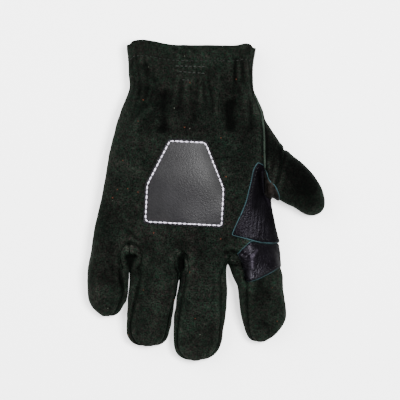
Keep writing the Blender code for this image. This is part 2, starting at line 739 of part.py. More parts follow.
def badge_outline():
    """Places round the badge, clockwise from its lower corner on the little-finger side."""
    half, top, tall = BADGE_WIDTH / 2, BADGE_TOP_WIDTH / 2, BADGE_LENGTH / 2
    side, cut = BADGE_SIDE_LENGTH - tall, BADGE_CORNER
    right = [(top, tall), (half, side), (half, cut - tall), (half - cut, -tall)]
    left = [(-x, y) for x, y in right[::-1]]
    turn = math.radians(BADGE_TURN)
    spin = np.array([[math.cos(turn), math.sin(turn)], [-math.sin(turn), math.cos(turn)]])
    return place_of(BADGE_PLACE) + np.array(left + right + left[:1]) @ spin


def round_strip(name, line, normals, radius, material):
    """A round strip along a line of points, which lies in the bend that the normals bisect."""
    along = np.gradient(line, axis=0)
    side = np.cross(normals, along)
    side /= np.linalg.norm(side, axis=1, keepdims=True)
    up = np.cross(along, side)
    up /= np.linalg.norm(up, axis=1, keepdims=True)
    angles = 2 * np.pi * np.arange(WELT_SIDES) / WELT_SIDES
    across = np.cos(angles)[None, :, None] * side[:, None]
    points = line[:, None] + radius * (across + np.sin(angles)[None, :, None] * up[:, None])
    ids = np.arange(points[..., 0].size).reshape(-1, WELT_SIDES)
    ends = [tuple(ids[0, ::-1].tolist()), tuple(ids[-1].tolist())]
    near, far = ids[:-1], ids[1:]
    walls = np.stack([near, np.roll(near, -1, 1), np.roll(far, -1, 1), far], -1).reshape(-1, 4)
    add_mesh(name, points.reshape(-1, 3), ends + [tuple(wall) for wall in walls.tolist()], material)


def leather(name, colour, roughness):
    """Material of one leather or thread."""
    material = bpy.data.materials.new(name)
    material.use_nodes = True
    shader = material.node_tree.nodes["Principled BSDF"]
    shader.inputs["Base Color"].default_value = (*colour, 1.0)
    shader.inputs["Roughness"].default_value = roughness
    shader.inputs["Metallic"].default_value = 0.0
    return material


def main():
    for stale in list(bpy.data.objects):
        bpy.data.objects.remove(stale)
    suede = leather("suede", (0.012, 0.016, 0.012), 0.95)
    smooth = leather("smooth_leather", (0.010, 0.008, 0.012), 0.42)
    plate = leather("badge_vinyl", (0.075, 0.073, 0.075), 0.50)
    raw_edge = leather("raw_edge", (0.32, 0.38, 0.33), 0.85)

    skin = build_skin()
    turn_outward(skin)
    trims = (SEAM_TRIM, INNER_TRIM)
    for piece, name in enumerate(PIECES):
        faces = [face for face, owner in zip(skin.faces, skin.pieces) if owner == piece]
        walled(name, skin.points, skin.normals, faces, 0.0, SUEDE_WALL, trims, suede)

    # The edge of the cuff is turned in, and lies against the inside of the wall.
    hem = [face for face, key in zip(skin.faces, skin.keys) if key == "cuff"]
    inside = -(SUEDE_WALL + SEAM_GAP)
    walled("cuff_hem", skin.points, skin.normals, hem, inside, HEM_WALL, trims, suede)

    upper = fence([place_of(c) for c in SADDLE_EDGE])
    lower = fence([place_of(c) for c in SADDLE_HEM])
    laid_sheet("saddle_patch", skin, ("body back", "body right"), upper + lower, OVERLAY_WALL, smooth)
    under_saddle = fence([place_of(c) for c in SADDLE_HEM[:2]][::-1], -SEAM_GAP)
    index = fence([place_of(c) for c in INDEX_EDGE])
    regions = ("body back", "body right", "index back", "index thumb side")
    laid_sheet("index_patch", skin, regions, under_saddle + index, OVERLAY_WALL, smooth)
    tab = fence([place_of(c) for c in TAB_EDGE])
    laid_sheet("thumb_patch", skin, ("gusset",), tab, OVERLAY_WALL, smooth)
    palm = fence([place_of(c) for c in PALM_EDGE])
    laid_sheet("palm_patch", skin, ("body under",), palm, OVERLAY_WALL, smooth)
    laid_sheet("badge", skin, ("body back",), fence(badge_outline()), BADGE_WALL, plate)

    at = np.linspace(*WELT_SPAN, WELT_ROWS + 1)
    line, normals = (
        np.stack([np.interp(at, skin.shares, values[skin.ridge, axis]) for axis in range(3)], 1)
        for values in (skin.points, skin.normals)
    )
    line += normals * (SEAM_GAP + 1.2 * WELT_RADIUS)
    round_strip("side_welt", line, normals, WELT_RADIUS, raw_edge)


main()
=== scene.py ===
"""Looks of a right-hand leather work glove that lies palm down, with its back up.

Metres, +Z up, fingers to -Y, cuff to +Y, thumb to +X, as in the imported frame. The outside of the
glove is laid out once as a fine skin, by the formulas of its solids. The suede panels, the hem and
the patches are all cut from that skin, so that they follow each other's folds.
"""

import math
from collections import namedtuple

import bmesh
import bpy
import numpy as np
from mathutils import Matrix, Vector
from mathutils.bvhtree import BVHTree


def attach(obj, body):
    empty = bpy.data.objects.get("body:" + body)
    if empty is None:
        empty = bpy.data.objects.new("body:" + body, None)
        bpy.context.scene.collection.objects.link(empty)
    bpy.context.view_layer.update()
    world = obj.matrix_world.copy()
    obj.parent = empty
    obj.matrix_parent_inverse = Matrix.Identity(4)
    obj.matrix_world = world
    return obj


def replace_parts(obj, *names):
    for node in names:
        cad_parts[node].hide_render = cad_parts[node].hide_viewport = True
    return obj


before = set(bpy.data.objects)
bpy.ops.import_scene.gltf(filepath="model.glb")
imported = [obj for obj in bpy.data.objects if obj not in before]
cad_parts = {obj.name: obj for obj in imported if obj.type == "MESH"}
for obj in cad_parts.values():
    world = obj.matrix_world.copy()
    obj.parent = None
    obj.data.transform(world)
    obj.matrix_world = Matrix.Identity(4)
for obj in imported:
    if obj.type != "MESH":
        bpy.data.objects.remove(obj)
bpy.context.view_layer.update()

# Places read off the photograph are in its pixels: PIXEL is the size of one on the glove.
PIXEL = 0.78125e-3
PHOTO_SIDE = 400
PHOTO_ORIGIN = (185, 190)

# Suede body. Six panels of black suede, cut flat and sewn inside out: the back with the backs of
# the fingers, the palm with their fronts, three strips between the fingers, and the thumb. Their
# seams are turned inwards and show as grooves, with puckers where they bend sharply.

CUFF_WIDTH = 0.1008
WRIST_WIDTH = 0.0970
PALM_WIDTH = 0.1270
KNUCKLE_WIDTH = 0.1490
BODY_LENGTH = 0.1640
CUFF_TO_ORIGIN = 0.1120
CUFF_HEIGHT = 0.0290
PALM_HEIGHT = 0.0350
KNUCKLE_HEIGHT = 0.0300
LITTLE_LENGTH = 0.0498
LITTLE_WIDTH = 0.0316
RING_LENGTH = 0.0699
RING_WIDTH = 0.0383
MIDDLE_LENGTH = 0.0792
MIDDLE_WIDTH = 0.0394
INDEX_LENGTH = 0.0650
INDEX_WIDTH = 0.0367
FINGER_HEIGHT = 0.0225
FINGER_SPACE = 0.0008
CROTCH_TOP = 0.74
CROTCH_LOW = 0.36
THUMB_LENGTH = 0.0452
THUMB_WIDTH = 0.0313
THUMB_HEIGHT = 0.0250
SUEDE_WALL = 0.0018
OVERLAY_WALL = 0.0012
SEAM_GAP = 0.0003
HEM_DEPTH = 0.0120
SIDE_ANGLE = math.radians(15)
BODY_POWER = 2.3
STALL_POWER = 2.4
FLAT_SHARE = 1.25
REST = OVERLAY_WALL + SEAM_GAP

# Beside a crotch: how far off a stall's wall is drawn in, and how the gap below opens and closes
CLOSING_REACH = 0.0038
OPENING_FADE = 0.004
HUG_LENGTH = 0.030
HUG_FADE = 0.010
TIP_POWER = 2.6
THUMB_CAP_POWER = 2.2

# Density of the skin: spaces across one finger, down one side strip, and in each run of rows
FINGER_COLUMNS = 30
OPENING_COLUMNS = FINGER_COLUMNS // 5
SIDE_COLUMNS = 14
ROW_SPACE = 0.0012
CAP_ROWS = 16
GUSSET_ROWS = 12
RELAXING = 40


def rows(kind, *values):
    """A table: each row of values as one of its kind."""
    return tuple(kind(*row) for row in values)


BodySection = namedtuple("BodySection", "along centre width height")
BODY_SECTIONS = rows(
    BodySection,
    (0.000, 0.040, 1.000 * CUFF_WIDTH, 1.00 * CUFF_HEIGHT),
    (0.064, 0.037, 1.010 * WRIST_WIDTH, 0.96 * CUFF_HEIGHT),
    (0.140, 0.037, 1.000 * WRIST_WIDTH, 0.93 * CUFF_HEIGHT),
    (0.211, 0.041, 1.008 * WRIST_WIDTH, 0.96 * CUFF_HEIGHT),
    (0.264, 0.042, 0.825 * PALM_WIDTH, 0.86 * PALM_HEIGHT),
    (0.322, 0.041, 0.880 * PALM_WIDTH, 0.92 * PALM_HEIGHT),
    (0.407, 0.033, 0.928 * PALM_WIDTH, 0.97 * PALM_HEIGHT),
    (0.521, 0.017, 0.966 * PALM_WIDTH, 1.00 * PALM_HEIGHT),
    (0.636, 0.009, 1.000 * PALM_WIDTH, 1.00 * PALM_HEIGHT),
    (0.750, 0.003, 0.886 * KNUCKLE_WIDTH, 1.10 * KNUCKLE_HEIGHT),
    (0.864, 0.001, 0.942 * KNUCKLE_WIDTH, 1.06 * KNUCKLE_HEIGHT),
    (1.000, 0.002, 0.994 * KNUCKLE_WIDTH, 1.00 * KNUCKLE_HEIGHT),
)

# shut is how far below a crotch its two stalls touch, hug the share of the gap that closes below
# that, and lean how far the gap lies towards the thumb
Crotch = namedtuple("Crotch", "across past bulge shut hug lean")
CROTCHES = rows(
    Crotch,
    (0.000, -0.022, 0.00, 0.000, 0.00, 0.0000), (0.195, -0.010, 0.62, 0.017, 0.35, -0.0003),
    (0.479, 0.014, 0.70, 0.0200, 0.60, -0.0005), (0.727, 0.012, 0.06, 0.000, 0.00, 0.0000),
    (1.000, 0.012, 0.00, 0.000, 0.00, 0.0000),
)

Stall = namedtuple("Stall", "name length width cap_start cap_power seams stations")
Station = namedtuple("Station", "along centre width height")
STALLS = (
    Stall(
        "little", LITTLE_LENGTH, LITTLE_WIDTH, 0.45, 2.1, (64, 165, 195, 315),
        rows(
            Station,
            (0.00, 0.000, 0.975, 1.16), (0.18, -0.050, 1.020, 1.06), (0.37, -0.067, 1.030, 0.98),
            (0.56, -0.074, 1.010, 0.92), (0.75, -0.125, 0.985, 0.87), (1.00, -0.110, 0.985, 0.80),
        ),
    ),
    Stall(
        "ring", RING_LENGTH, RING_WIDTH, 0.73, 2.6, (42, 116, 225, 315),
        rows(
            Station,
            (0.00, 0.000, 1.040, 1.20), (0.16, -0.002, 1.035, 1.08), (0.36, -0.028, 1.048, 1.00),
            (0.56, -0.098, 0.955, 0.98), (0.70, -0.140, 0.905, 0.95), (0.82, -0.162, 0.888, 0.92),
            (1.00, -0.155, 0.870, 0.86),
        ),
    ),
    Stall(
        "middle", MIDDLE_LENGTH, MIDDLE_WIDTH, 0.77, 2.2, (48, 128, 225, 315),
        rows(
            Station,
            (0.00, 0.000, 0.900, 1.24), (0.12, -0.028, 0.935, 1.14), (0.33, -0.050, 1.010, 1.05),
            (0.45, -0.079, 1.035, 1.03), (0.57, -0.092, 1.018, 1.01), (0.69, -0.119, 0.990, 0.99),
            (0.81, -0.129, 0.960, 0.96), (1.00, -0.158, 0.950, 0.88),
        ),
    ),
    Stall(
        "index", INDEX_LENGTH, INDEX_WIDTH, 0.62, 2.0, (15, 115, 225, 345),
        rows(
            Station,
            (0.00, 0.000, 1.128, 1.22), (0.10, 0.060, 1.095, 1.14), (0.20, 0.118, 1.060, 1.08),
            (0.28, 0.160, 0.995, 1.05), (0.42, 0.190, 0.965, 1.00), (0.57, 0.222, 0.965, 0.98),
            (0.72, 0.248, 0.945, 0.95), (0.87, 0.215, 0.930, 0.91), (1.00, 0.150, 0.960, 0.86),
        ),
    ),
)
CURL = ((0.00, 0.06), (0.30, 0.20), (0.60, 0.13), (0.85, -0.05), (1.00, -0.02))

THUMB_OPENING = (0.340, 0.716)
THUMB_ROOT = (0.578, 0.601)
THUMB_CAP_START = 0.62
ThumbStation = namedtuple("ThumbStation", "share out down turn width height lift")
THUMB_STATIONS = rows(
    ThumbStation,
    (0.000, 0.000, 0.000, -17.0, 1.190, 1.00, 0.10), (0.235, 0.192, 0.137, -25.0, 1.110, 0.98, 0.08),
    (0.453, 0.356, 0.280, -41.0, 1.000, 0.96, 0.04), (0.680, 0.521, 0.436, -45.0, 0.840, 0.92, 0.00),
    (0.834, 0.616, 0.557, -46.0, 0.765, 0.87, -0.02), (1.000, 0.728, 0.678, -47.0, 0.720, 0.80, 0.00),
)
EDGE_HUMPS = ((0.09, 0.18, 0.0046), (0.95, 0.06, 0.0018), (0.0, 0.018, -0.0022), (1.0, 0.018, -0.0022))

PIECES = ("back", "palm", "little_ring", "ring_middle", "middle_index", "thumb")
BACK, PALM, LITTLE_RING, RING_MIDDLE, MIDDLE_INDEX, THUMB = range(len(PIECES))
NODES = (
    "back_panel",
    "palm_panel",
    "fourchette_little_ring",
    "fourchette_ring_middle",
    "fourchette_middle_index",
    "thumb",
)


def smooth_curve(knots, values, at):
    """Cubic Hermite curve through the knots, sloping at each as its neighbours do."""
    knots = np.asarray(knots, float)
    values = np.asarray(values, float)
    slopes = np.gradient(values, knots)
    i = np.clip(np.searchsorted(knots, at, side="right") - 1, 0, len(knots) - 2)
    span = knots[i + 1] - knots[i]
    t = (at - knots[i]) / span
    rise = t * t * (3 - 2 * t)
    return (
        values[i] * (1 - rise) + values[i + 1] * rise
        + span * (slopes[i] * t * (1 - t) ** 2 - slopes[i + 1] * t * t * (1 - t))
    )


def curve_of(rows, key, name, at):
    """A column of a table as a smooth curve over its key column."""
    return smooth_curve([getattr(r, key) for r in rows], [getattr(r, name) for r in rows], at)


def ease(t):
    """Smooth step from 0 to 1."""
    t = np.clip(t, 0.0, 1.0)
    return t * t * (3 - 2 * t)


def bell(t):
    """Bell curve: 1 at 0, and e to the minus t squared."""
    return np.exp(-(t**2))


def oval(angle, power):
    """Superellipse of half-width and half-height 1 at these angles."""
    c, s = np.cos(angle), np.sin(angle)
    return np.sign(c) * np.abs(c) ** (2 / power), np.sign(s) * np.abs(s) ** (2 / power)


class Skin:
    """Outside of the glove: points, triangles, and for each triangle its panel and region."""

    def __init__(self):
        self.points = np.zeros((0, 3))
        self.slack = np.zeros(0)
        self.faces, self.owners, self.keys, self.names = [], [], [], []

    def add(self, points, slack=0.0):
        """Numbers these points. slack from 0 to 1 says how far relaxing may move them."""
        first = len(self.points)
        self.points = np.concatenate([self.points, points.reshape(-1, 3)])
        slack = np.broadcast_to(slack, points.shape[:-1]).ravel()
        self.slack = np.concatenate([self.slack, slack])
        return first + np.arange(points.size // 3).reshape(points.shape[:-1])

    def grid(self, ids, piece, name, keep=None):
        """Two triangles for each space between the rows and columns of point numbers."""
        corners = np.stack([ids[:-1, :-1], ids[:-1, 1:], ids[1:, 1:], ids[1:, :-1]], -1)
        corners = corners[np.ones(corners.shape[:2], bool) if keep is None else keep]
        faces = np.concatenate([corners[:, [0, 1, 2]], corners[:, [0, 2, 3]]])
        real = (faces != np.roll(faces, 1, axis=1)).all(1)
        self.faces.append(faces[real])
        self.owners.append(np.full(real.sum(), piece))
        self.keys.append(np.full(real.sum(), len(self.names)))
        self.names.append(name)

    def region(self, *names):
        """The triangles that lie in these regions."""
        return self.faces[np.isin(self.keys, [i for i, n in enumerate(self.names) if n in names])]


def body_shares():
    """Shares of the body's length for its rows, and the rows that bound hem and opening."""
    ends = (0.0, HEM_DEPTH / BODY_LENGTH, *THUMB_OPENING, 1.0)
    counts = [round((b - a) * BODY_LENGTH / ROW_SPACE) for a, b in zip(ends[:-1], ends[1:])]
    runs = [np.linspace(a, b, n + 1)[1:] for a, b, n in zip(ends[:-1], ends[1:], counts)]
    return np.concatenate([[0.0], *runs]), np.cumsum(counts)[:3]


def edge_rise(across):
    """How far the cuff's edge stands past its straight line at a share of its width."""
    return sum(h * bell((across - place) / reach) for place, reach, h in EDGE_HUMPS)


def row_place(v, across):
    """Y of the body at share v: straight at the cuff and along the crotches at the end."""
    past = BODY_LENGTH * curve_of(CROTCHES, "across", "past", across)
    start = CUFF_TO_ORIGIN + edge_rise(across) * (1 - ease(v / 0.5))
    return start - BODY_LENGTH * v - past * ease((v - 0.3) / 0.7)


def body_sides(v):
    """Back, underside, left and right side of the body: a row of each for every share in v."""
    v = v[:, None]
    centre = PALM_WIDTH * curve_of(BODY_SECTIONS, "along", "centre", v)
    half = curve_of(BODY_SECTIONS, "along", "width", v) / 2
    height = curve_of(BODY_SECTIONS, "along", "height", v)
    middle, rise = (height + REST) / 2, (height - REST) / 2

    ends = np.array([c.across for c in CROTCHES])
    even = np.linspace(0, 1, FINGER_COLUMNS + 1)
    bunched = (1 - oval(np.pi * even, STALL_POWER)[0]) / 2
    inner = (even + (bunched - even) * ease((v - 0.55) / 0.45))[:, None, :-1]
    across = ends[:-1, None] + np.diff(ends)[:, None] * inner
    across = np.column_stack([across.reshape(len(v), -1), np.ones(len(v))])
    share = oval(SIDE_ANGLE, BODY_POWER)[0] * (2 * across - 1)
    swell = (1 - np.abs(share) ** BODY_POWER) ** (1 / BODY_POWER)
    x, y = centre + half * share, row_place(v, across)
    back = np.stack([x, y, middle + rise * swell], -1)
    under = np.stack([x, y, middle - FLAT_SHARE * rise * swell], -1)

    strips = []
    for first, last, edge in (
        (np.pi - SIDE_ANGLE, np.pi + SIDE_ANGLE, 0.0),
        (SIDE_ANGLE, -SIDE_ANGLE, 1.0),
    ):
        cx, cz = oval(np.linspace(first, last, SIDE_COLUMNS + 1), BODY_POWER)
        z = middle + rise * np.where(cz < 0, FLAT_SHARE, 1.0) * cz
        strips.append(np.stack([centre + half * cx, row_place(v, edge) + 0 * cx, z], -1))
    return back, under, *strips


def arches(row, corners, levels):
    """The last row's heights as one arch for each stall, from crotch to crotch."""
    across, rise = oval(np.linspace(np.pi, 0, FINGER_COLUMNS + 1), STALL_POWER)
    share = (1 + across) / 2
    heights = row[:, 2].copy()
    for i, level in enumerate(levels):
        line = corners[i, 2] * (1 - share) + corners[i + 1, 2] * share
        span = slice(i * FINGER_COLUMNS, (i + 1) * FINGER_COLUMNS + 1)
        heights[span] = line + (level - line) * rise
    return heights


def stall_sides(stall, base_x, t):
    """Back, thumb side, underside and little side of a stall: a row for every share in t."""
    t = t[:, None]
    centre = base_x + stall.width * curve_of(stall.stations, "along", "centre", t)
    half = stall.width * curve_of(stall.stations, "along", "width", t) / 2
    tall = FINGER_HEIGHT * curve_of(stall.stations, "along", "height", t)
    low = FINGER_HEIGHT * smooth_curve([c[0] for c in CURL], [c[1] for c in CURL], t)
    cap = np.clip((t - stall.cap_start) / (1 - stall.cap_start), 0, 1)
    half = half * (1 - cap**stall.cap_power) ** (1 / stall.cap_power)
    rounding = (1 - cap**TIP_POWER) ** (1 / TIP_POWER)
    narrow = 1 - 0.45 * ease(t)
    top_right, top_left, low_left, low_right = np.radians(stall.seams)
    right, low_right = top_right * narrow, -(2 * np.pi - low_right) * narrow
    left, low_left = np.pi - (np.pi - top_left) * narrow, np.pi + (low_left - np.pi) * narrow
    sides = []
    for first, last, count in (
        (left, right, FINGER_COLUMNS),
        (right, low_right, SIDE_COLUMNS),
        (low_left, low_right + 2 * np.pi, FINGER_COLUMNS),
        (left, low_left, SIDE_COLUMNS),
    ):
        cx, cz = oval(first + (last - first) * np.linspace(0, 1, count + 1), STALL_POWER)
        sides.append(np.stack([centre + half * cx, 0 * cx, low + tall / 2 * (1 + rounding * cz)], -1))
    return sides


def stall_shares(length, cap_start):
    """Shares of a stall's length for its rows, closer together round the tip."""
    count = round(length * cap_start / ROW_SPACE)
    turn = np.sin(np.linspace(0, np.pi / 2, CAP_ROWS + 1))
    straight = np.linspace(0, cap_start, count + 1)[1:-1]
    return np.concatenate([straight, cap_start + (1 - cap_start) * turn])[:-1]


def crotch_line(crotch, bases, y):
    """X of the line between two neighbouring stalls at this Y."""
    sides = []
    for stall, base, sign in zip(STALLS[crotch - 1 :], bases[crotch - 1 :], (1, -1)):
        t = np.clip((CUFF_TO_ORIGIN - BODY_LENGTH - y) / stall.length, 0, 1)
        centre = curve_of(stall.stations, "along", "centre", t)
        width = curve_of(stall.stations, "along", "width", t)
        sides.append(base + stall.width * (centre + sign * width / 2))
    return sum(sides) / 2


def add_stalls(skin, back_ids, under_ids, left_end, right_end):
    """Grows the four finger stalls from the body's last row."""
    k = FINGER_COLUMNS
    webs = [left_end]
    w = np.linspace(0, 1, SIDE_COLUMNS + 1)[1:-1, None]
    for i, crotch in enumerate(CROTCHES[1:-1], 1):
        top, low = back_ids[-1, i * k], under_ids[-1, i * k]
        strip = skin.points[top] * (1 - w) + skin.points[low] * w
        strip[:, 1] -= crotch.bulge * FINGER_HEIGHT * np.sin(np.pi * w[:, 0]) ** 0.8
        webs.append(np.concatenate([[top], skin.add(strip, 0.6), [low]]))
    webs.append(right_end)
    edges = skin.points[back_ids[-1, ::k], 0]
    bases = (edges[:-1] + edges[1:]) / 2
    gussets = (BACK, LITTLE_RING, RING_MIDDLE, MIDDLE_INDEX, PALM)
    for i, stall in enumerate(STALLS):
        span = slice(i * k, i * k + k + 1)
        first = (back_ids[-1, span], webs[i + 1], under_ids[-1, span], webs[i])
        base_y = skin.points[first[0][[0, -1]], 1].mean()
        t = stall_shares(stall.length, stall.cap_start)
        blend = (1 - (1 - np.clip(t / 0.20, 0, 1)) ** 2)[:, None, None]
        sides = []
        for pure, ids in zip(stall_sides(stall, bases[i], t), first):
            side = skin.points[ids] * (1 - blend) + pure * blend
            side[..., 1] = skin.points[ids, 1] * (1 - t[:, None]) + (base_y - stall.length) * t[:, None]
            sides.append(side)
        for crotch, way in ((i, 1), (i + 1, -1)):
            if 0 < crotch < len(CROTCHES) - 1:
                here = CROTCHES[crotch]
                for side in sides:
                    below = skin.points[back_ids[-1, crotch * k], 1] - side[..., 1]
                    near = 1 - ease((below - HUG_LENGTH) / HUG_FADE)
                    lean = here.lean * ease(below / HUG_FADE) * near
                    wall = crotch_line(crotch, bases, side[..., 1]) + lean
                    open_share = ease((below - here.shut) / OPENING_FADE)
                    close = 1 - open_share * (1 - here.hug * near)
                    apart = way * (side[..., 0] - wall)
                    apart *= 1 - close * bell(apart / CLOSING_REACH)
                    side[..., 0] = wall + way * np.maximum(apart, open_share * FINGER_SPACE / 2)
        slack = bell(t * stall.length / 0.009)[:, None]
        back, under = skin.add(sides[0], slack), skin.add(sides[2], slack)
        thumb, little = (
            np.column_stack([back[:, edge], skin.add(side[:, 1:-1], slack), under[:, edge]])
            for edge, side in ((-1, sides[1]), (0, sides[3]))
        )
        tip = stall_sides(stall, bases[i], np.ones(1))[0][0].mean(0)
        tip[1] = base_y - stall.length
        pole = skin.add(tip)
        for ids, start, piece, name in (
            (back, first[0], BACK, "back"),
            (thumb, first[1], gussets[i + 1], "thumb side"),
            (under, first[2], PALM, "under"),
            (little, first[3], gussets[i], "little side"),
        ):
            ids = np.vstack([start, ids, np.full(ids.shape[1], pole)])
            skin.grid(ids, piece, f"{stall.name} {name}")


def thumb_rings(t, angles):
    """Rings of the thumb stall at these angles of its section: one for each share in t."""
    t = t[:, None]
    out, down, turn, width, height, lift = (
        curve_of(THUMB_STATIONS, "share", name, t) for name in ThumbStation._fields[1:]
    )
    cap = np.clip((t - THUMB_CAP_START) / (1 - THUMB_CAP_START), 0, 1)
    half = THUMB_WIDTH * width / 2 * (1 - cap**THUMB_CAP_POWER) ** (1 / THUMB_CAP_POWER)
    rounding = (1 - cap**TIP_POWER) ** (1 / TIP_POWER)
    turn = np.radians(turn)
    cx, cz = oval(angles, STALL_POWER)
    x = PALM_WIDTH * THUMB_ROOT[0] + THUMB_LENGTH * out + half * cx * np.sin(turn)
    y = CUFF_TO_ORIGIN - BODY_LENGTH * THUMB_ROOT[1] - THUMB_LENGTH * down - half * cx * np.cos(turn)
    z = THUMB_HEIGHT * (lift + height / 2 * (1 + rounding * cz))
    return np.stack([x, y, z], -1)


def add_thumb(skin, under_ids, right_ids, first, last):
    """Grows the gusset and the thumb from the opening in the body's side."""
    inner = 4 * FINGER_COLUMNS - OPENING_COLUMNS
    loop = np.concatenate(
        [
            right_ids[first : last + 1, 0],
            right_ids[last, 1:],
            under_ids[last, inner:-1][::-1],
            under_ids[first:last, inner][::-1],
            under_ids[first, inner + 1 :],
            right_ids[first, 1:-1][::-1],
        ]
    )
    rows, columns = last - first, SIDE_COLUMNS + OPENING_COLUMNS
    corners = np.radians([135, 45, -45, -135, -225])
    runs = zip(corners[:-1], corners[1:], (rows, columns, rows, columns))
    angles = np.concatenate([np.linspace(a, b, n + 1)[:-1] for a, b, n in runs])
    root = thumb_rings(np.zeros(1), angles)[0]
    way = np.linspace(0, 1, GUSSET_ROWS + 1)[1:, None, None]
    gusset = skin.add(skin.points[loop] * (1 - way) + root * way, 1.0)
    gusset = np.vstack([loop, gusset])
    t = stall_shares(THUMB_LENGTH, THUMB_CAP_START)
    slack = bell(t * THUMB_LENGTH / 0.008)[:, None]
    stall = skin.add(thumb_rings(t, angles), slack)
    pole = skin.add(thumb_rings(np.ones(1), angles)[0].mean(0))
    stall = np.vstack([gusset[-1], stall, np.full(len(loop), pole)])
    skin.grid(np.column_stack([gusset, gusset[:, 0]]), PALM, "gusset")
    skin.grid(np.column_stack([stall, stall[:, 0]]), THUMB, "thumb")


def rest_level(y):
    """Lowest place of the suede: above the overlay under the palm, and on the surface beyond."""
    start = CUFF_TO_ORIGIN - BODY_LENGTH
    return 0.0002 + (REST - 0.0002) * (1 - ease((start - y) / (0.35 * RING_LENGTH)))


def build_skin():
    """Lays out the points of body, stalls and thumb, and joins them into one outside."""
    skin = Skin()
    k = FINGER_COLUMNS
    shares, (hem, first, last) = body_shares()
    back, under, left, right = body_sides(shares)
    upper, lower = back[-1, ::k].copy(), under[-1, ::k].copy()
    upper[1:-1, 2] = CROTCH_TOP * FINGER_HEIGHT
    lower[1:-1, 2] = CROTCH_LOW * FINGER_HEIGHT
    crests = [FINGER_HEIGHT * (stall.stations[0].height + CURL[0][1]) for stall in STALLS]
    sink = np.clip((shares - 0.80) / 0.20, 0, 1)[:, None] ** 2
    back[..., 2] += (arches(back[-1], upper, crests) - back[..., 2]) * sink
    under[..., 2] += (arches(under[-1], lower, [0.5 * REST] * len(STALLS)) - under[..., 2]) * sink

    from_end = ((1 - shares) * BODY_LENGTH)[:, None]
    slack = bell(from_end / 0.007)
    beside = np.abs(back[:, :, None, 0] - back[:, None, k:-1:k, 0]).min(2)
    valley = bell(beside / 0.007) * bell(from_end / 0.022)
    back_ids, under_ids = skin.add(back, np.maximum(slack, valley)), skin.add(under, slack)
    left_ids, right_ids = (
        np.column_stack([back_ids[:, edge], skin.add(side[:, 1:-1], slack), under_ids[:, edge]])
        for edge, side in ((0, left), (-1, right))
    )
    row = np.arange(len(shares) - 1)[:, None]
    outside = (row < first) | (row >= last)
    inner = np.arange(4 * k)[None, :] < 4 * k - OPENING_COLUMNS
    for ids, piece, name, closed in (
        (back_ids, BACK, "body back", None),
        (left_ids, BACK, "body left", None),
        (under_ids, PALM, "body under", outside | inner),
        (right_ids, PALM, "body right", outside & np.ones(SIDE_COLUMNS, bool)),
    ):
        skin.grid(ids, piece, name, closed)
    add_stalls(skin, back_ids, under_ids, left_ids[-1], right_ids[-1])
    add_thumb(skin, under_ids, right_ids, first, last)
    skin.faces, skin.owners, skin.keys = (
        np.concatenate(part) for part in (skin.faces, skin.owners, skin.keys)
    )
    ring = [back_ids, right_ids[:, 1:], under_ids[:, -2::-1], left_ids[:, -2:0:-1]]
    skin.loops = np.column_stack(ring)
    skin.ridge, skin.hem, skin.shares = back_ids[:, -1], hem, shares
    return skin


def turned_outward(points, faces):
    """The triangles, all facing out."""
    mesh = mesh_of("skin", points, faces)
    solid = bmesh.new()
    solid.from_mesh(mesh)
    bmesh.ops.recalc_face_normals(solid, faces=solid.faces)
    solid.to_mesh(mesh)
    solid.free()
    turned = np.empty(faces.size, np.int32)
    mesh.loops.foreach_get("vertex_index", turned)
    bpy.data.meshes.remove(mesh)
    return turned.reshape(-1, 3)


def mesh_of(name, points, faces):
    """A mesh of these points and triangles."""
    mesh = bpy.data.meshes.new(name)
    mesh.vertices.add(len(points))
    mesh.vertices.foreach_set("co", np.ravel(points).astype(np.float32))
    mesh.loops.add(faces.size)
    mesh.loops.foreach_set("vertex_index", faces.ravel().astype(np.int32))
    mesh.polygons.add(len(faces))
    mesh.polygons.foreach_set("loop_start", np.arange(0, faces.size, 3, dtype=np.int32))
    mesh.update(calc_edges=True)
    return mesh


def sides_of(faces):
    """The two ends of each side of each triangle."""
    return np.concatenate([faces[:, [0, 1]], faces[:, [1, 2]], faces[:, [2, 0]]])


def edges_of(faces):
    """The two ends of each edge, once."""
    return np.unique(np.sort(sides_of(faces), axis=1), axis=0).T


def summed(index, values, count):
    """For each of count points, the sum of the rows of values that index gives it."""
    return np.stack([np.bincount(index, v, count) for v in values.T], 1)


def neighbour_mean(values, edges):
    """The mean of each point's neighbours."""
    a, b = edges
    total = summed(a, values[b], len(values)) + summed(b, values[a], len(values))
    return total / np.maximum(np.bincount(np.concatenate([a, b]), minlength=len(values)), 1)[:, None]


def unit(vectors):
    """The vectors, each divided by its length."""
    return vectors / np.maximum(np.linalg.norm(vectors, axis=-1, keepdims=True), 1e-12)


def normals_of(points, faces):
    """Normal at each point: the mean of its triangles' normals, by area."""
    a, b, c = points[faces[:, 0]], points[faces[:, 1]], points[faces[:, 2]]
    across = np.repeat(np.cross(b - a, c - a), 3, axis=0)
    return unit(summed(faces.ravel(), across, len(points)))


def spread(start, points, edges, steps):
    """Way along the edges from each point to the nearest start point, for a few steps."""
    a, b = edges
    length = np.linalg.norm(points[a] - points[b], axis=1)
    way = np.where(start, 0.0, 1.0)
    for _ in range(steps):
        np.minimum.at(way, a, way[b] + length)
        np.minimum.at(way, b, way[a] + length)
    return way


def unevenness(points, wavelength, seed):
    """Smooth bumps of about this wavelength: the mean of twelve sine waves in seeded directions."""
    rng = np.random.default_rng(seed)
    ways = unit(rng.normal(size=(12, 3))) * rng.uniform(0.8, 1.25, (12, 1))
    waves = np.sin(2 * np.pi * (points @ ways.T / wavelength + rng.uniform(size=12)))
    return waves.mean(1) * 12**0.5 / 2


